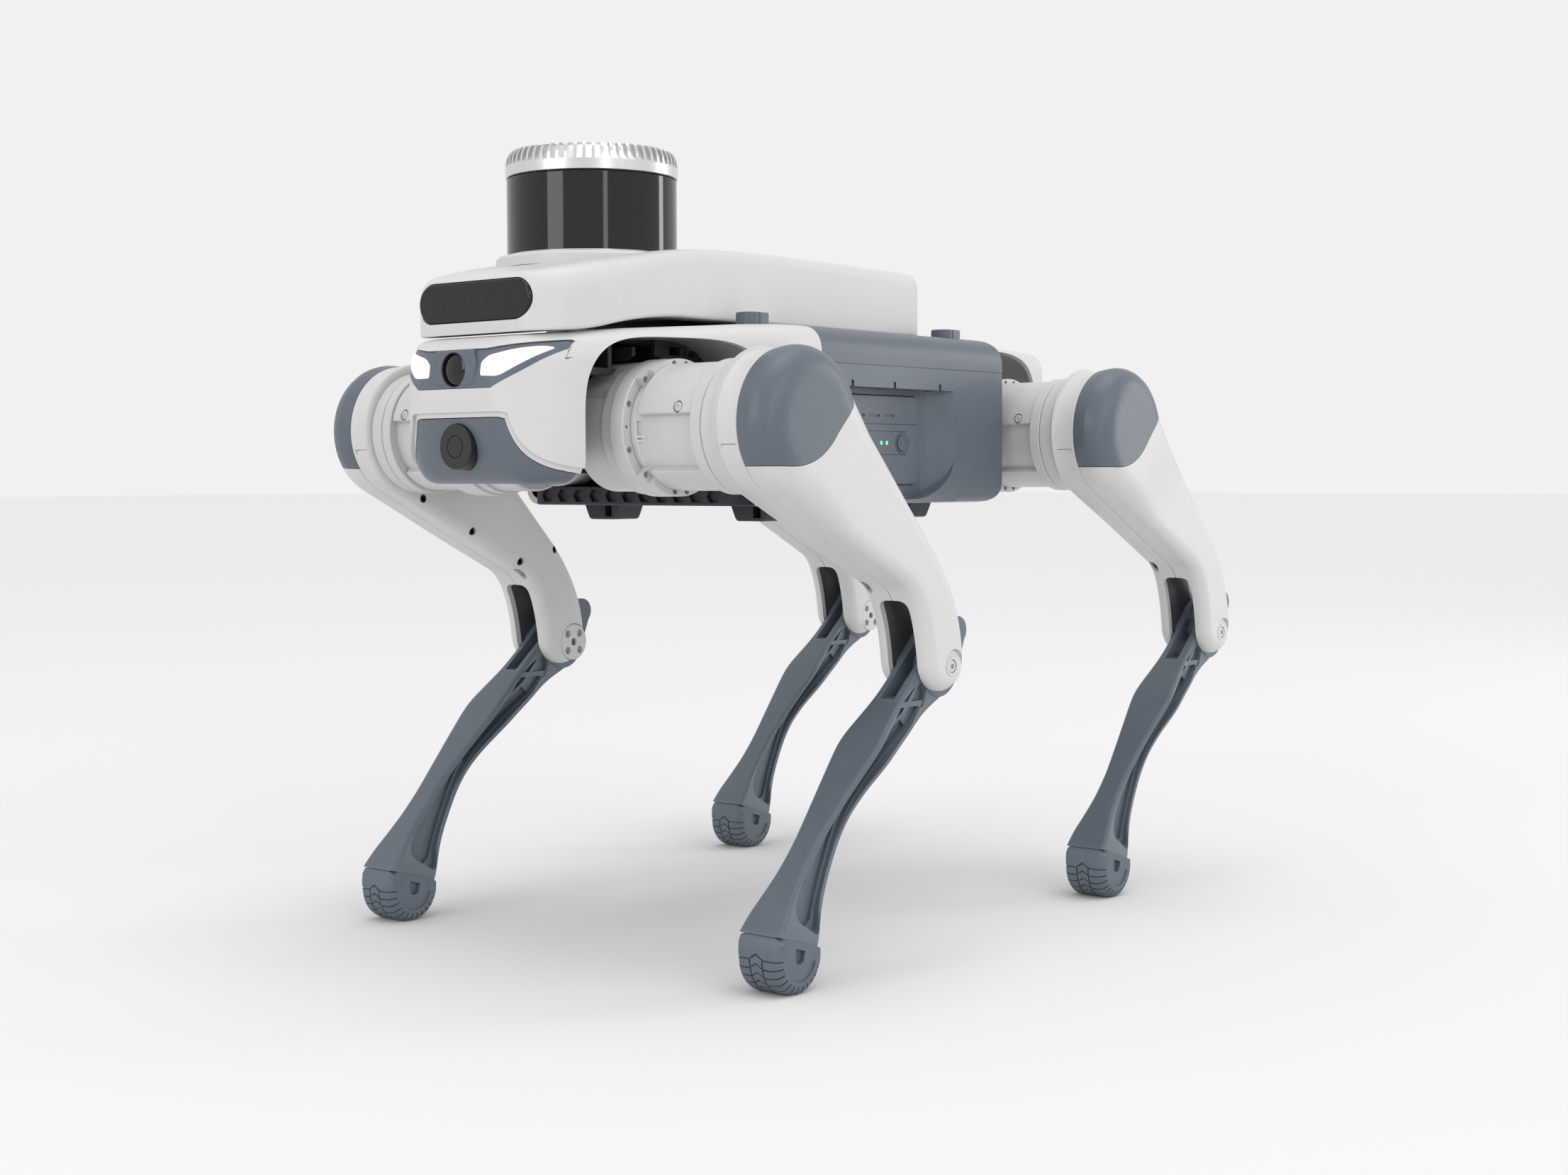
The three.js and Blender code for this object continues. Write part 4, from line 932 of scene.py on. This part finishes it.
def rear_body(shrink=0.0):
    first = -246.95 + shrink
    lengths = [first, *[first + 14 * (1 - math.cos(math.radians(a))) for a in range(6, 91, 6)], *np.linspace(-228, -150, 12), *np.linspace(-147, -130.4, 8)]
    return skinned([[(x, y, z) for y, z in divided_corners(rear_section(x, shrink))] for x in sorted(set(lengths))])


def rear_pieces():
    shell = cut(rear_body(), rear_body(3), box(-140, -120, -89, 89, -60, 58), *bays(-HIP_X, 57, 60))
    shell = cut(shell, box(-234, -120, -20.5, 20.5, -60, -24))
    vents = [prism(rounded([(y - 1.6, -14, 1.5), (y + 1.6, -14, 1.5), (y + 1.6, 12, 1.5), (y - 1.6, 12, 1.5)]), -260, -240, "X") for y in range(-30, 31, 10)]
    shell = cut(shell, *vents)
    trunk_piece("rear_cover", softened(shell, 1.0, 3), WHITE, "white_shell", "rear_shell")


def housing_skin(shrink, start, stop):
    section = rounded([(-107, -46, 12), (107, -46, 12), (107, 64, 18), (-107, 64, 18)], 12)
    return prism(inset(section, shrink) if shrink else section, start, stop, "X")


def housing_solid(shrink=0.0):
    outline = rounded([(-BAY_X, -46, 15), (69.7, -46), (69.7, 64), (-BAY_X, 64, 16)], 14)
    return common(housing_skin(shrink, -BAY_X - 1, 71), prism(inset(outline, shrink) if shrink else outline, -120, 120))


def side_pieces(side):
    """The housing of one side, made on the left and mirrored for the right."""
    body = common(housing_solid(), box(-140, 90, 61.8, 120, -80, 80))
    inner = common(housing_solid(3), box(-140, 90, 50, 104, -80, 80))
    body = cut(body, inner, common(housing_skin(3, 50, 80), box(40, 90, 50, 104, -80, 80)))
    recess_plan = [(-50.5, 94), (56, 94), (56, 125), (-72.5, 125), (-72.5, 107.05), (-71, 106.4), (-52.5, 95.2)]
    lower = rounded([(-73, 27.5), (58, 27.5), (58, -43.4), (-48, -43.4, 20), (-73, -24, 14)], 8)
    recess = common(prism(recess_plan, -44, 27.5, "Z"), prism(lower[::-1], 80, 130))
    backing = common(prism([(-56, 91), (60, 91), (60, 106), (-76, 106)], -45, 30.5, "Z"), box(-80, 62, 90, 106.5, -45, 31))
    body = cut(join(body, backing), recess)
    hole = prism(rounded([(-46.3, -34.3, 5), (46.3, -34.3, 5), (46.3, 23.8, 3), (-46.3, 23.8, 3)]), 80, 130)
    body = cut(body, hole, lug_hole(LUG_REAR, 1))
    notches = [box(x - 1.2, x + 1.4, 93, 120, 27, 31.5) for x in (-56, -5.5, 39)]
    seam = common(cut(housing_solid(-0.01), housing_solid(0.55)), box(-134, 69, 70, 120, 41.2, 41.75))
    body = cut(body, *notches, seam)
    name = "battery_bay_left" if side > 0 else "hatch_side_right"
    matrix = TRUNK @ Matrix.Diagonal((1, side, 1, 1))
    nodes = ["battery_housing"] if side > 0 else ["side_cover_right"]
    place(name, softened(body, 0.8, 3), SLATE, "trunk", "slate_shell", matrix, nodes)
    lip = common(cut(head_body(-0.02), head_body(1.1)), box(66.5, 69.9, 60, 130, -80, 80))
    if side < 0:
        hatch = hatch_plate()
        place("hatch_plate_right", hatch, SLATE, "trunk", "slate_shell", matrix)
    return lip


def hatch_plate():
    plate = pillow(rounded([(-45.7, -33.7, 5), (45.7, -33.7, 5), (45.7, 23.2, 3), (-45.7, 23.2, 3)]), 92, 95.9, (0, 0.8))
    grooves = [box(-44.5, 44.5, 95.5, 97, 4.8, 5.3), box(-40, 44, 95.5, 97, -20.3, -19.8)]
    return cut(plate, *grooves)


def battery_pieces():
    plate = pillow(rounded([(-45.9, -33.9, 5), (45.9, -33.9, 5), (45.9, 23.4, 3), (-45.9, 23.4, 3)]), -71, 96, (0, 0.9))
    line = 0.25
    grooves = [
        box(-45.5, 45.5, 95.4, 97, 5 - line, 5 + line),
        box(-33, 34, 95.5, 97, 0.3, 0.8),
        box(-33, 34, 95.5, 97, -14.8, -14.3),
        disc((-28, -7), 5.55, 92.7, 100),
    ]
    ring = cut(disc((-28, -7), 7.3, 95.6, 100), disc((-28, -7), 6.8, 95, 101))
    lamps = [disc((x, -7), 1.35, 95, 100) for x in (-12, -6)]
    grips = [prism(rounded([(x, 9.5, 0.9), (x + 12, 9.5, 0.9), (x + 12, 11.3, 0.9), (x, 11.3, 0.9)]), 95.3, 99) for x in (-20, -4, 12)]
    body = cut(plate, *grooves, ring, *lamps, *grips)
    place("battery_case", softened(body, 0.3), SLATE, "battery", "slate_shell", TRUNK, ["battery_pack"])
    dots = [turned([(1.25, 94), (1.25, 95.8), (0.9, 96.0), (0.2, 96.05)], (x, -7), "Y", 24) for x in (-12, -6)]
    place("battery_lamps", together(*dots), GREEN, "battery", "lamp")
    key = turned([(5.2, 94.1), (5.2, 96.7), (4.9, 97.15), (4.2, 97.2), (3.9, 96.8), (0.3, 96.7)], (-28, -7))
    mark = cut(disc((-28, -7), 2.6, 96.5, 99), disc((-28, -7), 2.1, 96, 100), box(-28.7, -27.3, 96, 100, -7, -3))
    place("battery_key", cut(key, mark), SLATE, "button", "slate_shell", TRUNK, ["power_button"])


def frame_pieces():
    """Dark frame seen through the hip bays, the belly tray, the payload lugs."""
    repaint(FRAME, "chassis")
    for end in (1, -1):
        for side in (1, -1):
            name = f"{'front' if end > 0 else 'rear'}_{'left' if side > 0 else 'right'}"
            low, high = sorted((end * 112.2, end * (BAY_X + 0.25)))
            edge = (33.9, low), (34.2, low + 0.5), (34.2, high - 0.5), (33.8, high)
            can = turned([*edge] if end > 0 else [*edge], (side * 62, 0), "X")
            bolts = [disc(c, 1.7, low - 1, high + 1, "X", 24) for c in arc((side * 62, 0), 28, 0, 315, 7)]
            face = [cut(bolt, box(low + 1.5, high - 1.5, -200, 200, -80, 80)) for bolt in bolts]
            trunk_piece(f"roll_actuator_{name}", softened(cut(can, *face), 0.3), WHITE_METAL, "dark_frame")
    rows = []
    for side in (1, -1):
        for x in (121, 138, 158, 184, 204, 222):
            rows.append(box(x, x + 3, *sorted((side * 21, side * 58)), 34, 47 - max(0, x - 190) * 0.02))
        rows.append(box(118, 230, *sorted((side * 21.5, side * 24)), -20, 30))
        rows.append(cut(box(114, 168, *sorted((side * 56, side * 58.5)), 36, 53.5), *[box(x, x + 9, side * 57 - 5, side * 57 + 5, 43.5, 48.5) for x in (120, 133, 146)]))
    rows.append(box(118, 232, -58, 58, 30, 34))
    trunk_piece("bay_ribs", cut(together(*rows), *roll_sweep()), FRAME, "dark_frame")
    rear = [box(-142, -118, -50, 50, 34, 52), box(-230, -140, -24, 24, 26.5, 44)]
    trunk_piece("rear_frame_ribs", together(*rear), FRAME, "dark_frame")
    # belly tray with a hexagon lattice along its edges and four skid pads
    tray = pillow(rounded([(-129, -88, 16), (129, -88, 16), (129, 88, 16), (-129, 88, 16)], 8), -46, -34.4, (1.2, 0.6), "Z")
    tools = []
    for end in (1, -1):
        for i, y in enumerate(range(-70, 71, 14)):
            cell = [(y - 5.6, -40), (y - 3, -36.2), (y + 3, -36.2), (y + 5.6, -40), (y + 3, -44), (y - 3, -44)]
            low, high = sorted((end * 126.6, end * 132))
            tools.append(prism([(a, b) for a, b in cell], low, high, "X"))
    for side in (1, -1):
        for x in range(-105, 106, 15):
            if 58 < abs(x) < 92:
                continue
            cell = [(x - 5.6, -40), (x - 3, -44), (x + 3, -44), (x + 5.6, -40), (x + 3, -36.2), (x - 3, -36.2)]
            tools.append(prism(cell, *sorted((side * 86, side * 92))))
    for x in range(-98, 99, 14):
        for y in range(-42, 43, 12):
            shift = 6 if (x // 14) % 2 else 0
            cell = arc((x, y + shift), 5.6, 0, 300, 5)
            tools.append(prism(cell, -50, -44.2, "Z"))
    tray = cut(tray, together(*tools))
    pads = []
    for x in (-75, 75):
        for y in (-63, 63):
            outline = rounded([(y - 11, -56, 2), (y + 11, -56, 2), (y + 13.5, -51, 2), (y + 16, -45, 0), (y - 16, -45, 0), (y - 13.5, -51, 2)], 4)
            pad = pillow(outline, x - 12, x + 12, (1, 1), "X")
            pads.append(cut(pad, box(x + 5, x + 14, y + 3, y + 9, -54, -47), box(x - 14, x - 5, y + 3, y + 9, -54, -47)))
    trunk_piece("belly_skid_pads", together(*pads), DARK, "dark_tray")
    trunk_piece("belly_plate", tray, DARK, "dark_tray", "belly_tray")
    # payload lugs: round post towards the middle, square pad outside
    lugs = []
    for side in (1, -1):
        for x in (LUG_FRONT, LUG_REAR):
            half = 7.4
            outline = rounded([(x - 8.9, side * LUG_Y - half, 1.6), (x + 8.9, side * LUG_Y - half, 6.6), (x + 8.9, side * LUG_Y + half, 6.6), (x - 8.9, side * LUG_Y + half, 1.6)], 8)
            post = pillow(outline, 55.2, 70.4, (0, 0.9), "Z")
            crease = [prism([(x - 0.6, edge), (x + 1.6, edge), (x + 0.5, edge - reach)], 50, 80, "Z") for edge, reach in ((side * LUG_Y + half + 0.1, 1.1), (side * LUG_Y - half - 0.1, -1.1))]
            post = cut(post, *crease)
            screw = disc((x - 4.6, side * LUG_Y), 2.1, 66, 72, "Z", 32)
            lugs.append(cut(post, screw))
    plate = box(-128, 110, -57, 57, 54, 57.6)
    ridge = box(-128.5, 69.5, -61.2, 61.2, 57.2, 63.9)
    trunk_piece("payload_lugs", together(*lugs), SLATE, "slate_frame", "payload_frame")
    trunk_piece("payload_ridge", softened(join(plate, ridge), 0.8), SLATE, "slate_frame")


# ---------------------------------------------------------------- sensor deck
DECK_TOP = [(-95, 96), *bend((-94.9, 102), (-94.5, 108.6), (-87, 108.9), 8), (-20, 109.8), *bend((40, 110), (110, 110), (150, 106.2), 10), *bend((154, 105.8), (215, 97.6), (248, 88.5), 14), *bend((250, 88), (257.5, 86.5), (258, 78), 8)]
DECK_BOTTOM = [(-95, 66), (150, 66), *bend((152, 66), (180, 65), (205, 59.8), 8), *bend((207, 59.4), (222, 55.6), (238, 54.3), 8), (258, 53.4)]
DECK_HALF = [(-95, 57), *bend((-94.9, 60), (-94.5, 63), (-89, 63), 8), (130, 65), *bend((132, 65), (222, 66), (240, 59.5), 14), *bend((241, 59), (256, 51), (258, 38), 12)]


def deck_section(x, shrink):
    here = x + shrink * (smooth_step(x, 225, 252) - smooth_step(-x, 80, 92))
    half = along(DECK_HALF, here) - shrink
    top = along(DECK_TOP, here) - shrink
    bottom = along(DECK_BOTTOM, here) + shrink
    upper = 8 + 9 * smooth_step(x, 120, 215)
    upper = min(upper, (top - bottom) * 0.45)
    return rounded([(half, bottom, 2.2), (half, top, upper), (-half, top, upper), (-half, bottom, 2.2)], 10)


def deck_body(shrink=0.0):
    first, last = -94.98 + shrink, 257.98 - shrink
    lengths = [*[first + 8 * (1 - math.cos(math.radians(a))) for a in range(0, 91, 9)], *np.linspace(-80, 236, 60), *[last - 20 * (1 - math.sin(math.radians(a))) for a in range(2, 90, 4)], last]
    return skinned([[(x, y, z) for y, z in divided_corners(deck_section(x, shrink))] for x in sorted(lengths)])


def pill(half_length, half_height):
    centre = half_length - half_height
    return [*arc((centre, 72), half_height, -90, 90, 24), *arc((-centre, 72), half_height, 90, 270, 24)]


def deck_pieces():
    body = deck_body()
    seat = turned([(58, 96), (58, 101.5), (56.5, 103.2), (53.2, 103.6)], (LIDAR_X, 0), "Z")
    body = join(body, common(seat, box(90, 230, -70, 70, 60, 110)))
    hollow = common(deck_body(3), box(-92, 262, -80, 80, 50, 99))
    body = cut(body, hollow, box(-80, 140, -45, 45, 50, 80), disc((LIDAR_X, 0), 52.3, 102.6, 150, "Z", 96))
    body = cut(body, prism(pill(46.4, 11.9), 238, 300, "X"))
    trunk_piece("deck_cover", softened(body, 0.9, 3), WHITE, "white_shell", "sensor_deck")
    face = pillow(pill(46, 11.5), 239.5, 257.2, (0, 1.4), "X")
    eyes = [turned([(7.6, 250), (7.6, 257.18), (7.45, 257.26), (4.2, 257.26), (4.0, 257.21), (0.5, 257.21)], (y, 72), "X") for y in (-31, -12, 14, 31)]
    trunk_piece("depth_camera_window", face, GLOSS, "gloss_black", "depth_camera")
    trunk_piece("depth_camera_lenses", together(*eyes), GLOSS, "gloss_black")


def lidar_pieces():
    radius = 52
    base = turned([(49, 103.4), (51, 103.8), (51.2, 105.8), (50, 106.2)], (LIDAR_X, 0), "Z", 128)
    trunk_piece("lidar_foot", base, SILVER, "lidar_silver", "lidar_base")
    window = turned([(50.6, 104.2), (51.3, 104.8), (51.3, 149.6), (50.8, 150.2), (49, 150.2)], (LIDAR_X, 0), "Z", 160)
    trunk_piece("lidar_drum", window, GLOSS, "gloss_black", "lidar_window")
    crown = turned([(50.9, 150.4), (51.9, 151), (51.95, 157.5), (51.4, 161.5), (49.9, 165), (48.3, 166.6), (46.4, 166.9), (44.5, 166.6), (44.1, 164.5), (0.5, 164.3)], (LIDAR_X, 0), "Z", 192)
    slots = []
    for i in range(60):
        turn = Matrix.Translation((LIDAR_X, 0, 0)) @ Matrix.Rotation(math.radians(6 * i), 4, "Z")
        side = [(45.4, 168), (45.4, 165.4), (46.8, 163.8), (49.2, 160.8), (50.9, 158.4), (52.4, 156.4), (55, 156), (55, 168)]
        slots.append(moved(prism(side, -1.75, 1.75), turn))
    ring = cut(crown, *[together(*slots)])
    trunk_piece("lidar_crown", softened(ring, 0.25), SILVER, "lidar_silver", "lidar_cap")
    hub = turned([(41, 164.2), (41.4, 164.9), (24, 165.4), (23.4, 164.9), (0.5, 164.8)], (LIDAR_X, 0), "Z")
    trunk_piece("lidar_lid", hub, SILVER, "lidar_silver")


head_pieces()
rear_pieces()
side_pieces(1)
side_pieces(-1)
battery_pieces()
frame_pieces()
deck_pieces()
lidar_pieces()


# ---------------------------------------------------------------- stage
def area_light(name, place_at, target, size, power, shape="RECTANGLE"):
    data = bpy.data.lights.new(name, "AREA")
    data.shape = shape
    data.size, data.size_y = size
    data.energy = power
    light = bpy.data.objects.new(name, data)
    light.location = place_at
    light.rotation_euler = (Vector(target) - Vector(place_at)).to_track_quat("-Z", "Y").to_euler()
    bpy.context.scene.collection.objects.link(light)


def floor_material():
    """A plain pale matt floor."""
    made = bpy.data.materials.new("studio_floor")
    made.use_nodes = True
    nodes, links = made.node_tree.nodes, made.node_tree.links
    shader = nodes["Principled BSDF"]
    noise = nodes.new("ShaderNodeTexNoise")
    noise.inputs["Scale"].default_value = 6
    ramp = nodes.new("ShaderNodeValToRGB")
    ramp.color_ramp.elements[0].color = (0.715, 0.715, 0.715, 1)
    ramp.color_ramp.elements[1].color = (0.75, 0.75, 0.75, 1)
    links.new(noise.outputs["Fac"], ramp.inputs["Fac"])
    links.new(ramp.outputs["Color"], shader.inputs["Base Color"])
    shader.inputs["Roughness"].default_value = 0.9
    shader.inputs["Specular IOR Level"].default_value = 0.0
    return made


def world_light():
    """An even, almost white surround."""
    world = bpy.data.worlds.new("studio")
    bpy.context.scene.world = world
    world.use_nodes = True
    background = world.node_tree.nodes["Background"]
    background.inputs["Color"].default_value = (1, 1, 1, 1)
    background.inputs["Strength"].default_value = 0.88


def sun(name, way, angle, power):
    data = bpy.data.lights.new(name, "SUN")
    data.angle = math.radians(angle)
    data.energy = power
    light = bpy.data.objects.new(name, data)
    light.rotation_euler = Vector(way).to_track_quat("-Z", "Y").to_euler()
    bpy.context.scene.collection.objects.link(light)


def studio():
    bpy.ops.mesh.primitive_plane_add(size=60, location=(0, 0, 0))
    floor = bpy.context.active_object
    floor.name = "floor"
    floor.data.materials.append(floor_material())
    world_light()
    sun("overhead", (0.1, -0.1, -1), 45, 0.8)
    area_light("front_box", (3.0, -0.3, 1.3), (0, 0, 0.25), (1.2, 1.6), 15)
    area_light("side_box", (0.5, 3.0, 1.9), (0, 0, 0.3), (2.4, 0.8), 13)
    area_light("corner_strip", (1.6, 2.6, 0.75), (0, 0, 0.35), (0.3, 1.6), 4)
    area_light("rear_strip", (-2.6, 1.6, 0.8), (0, 0, 0.35), (0.5, 1.7), 14)
    bpy.context.scene.view_settings.view_transform = "Standard"


studio()
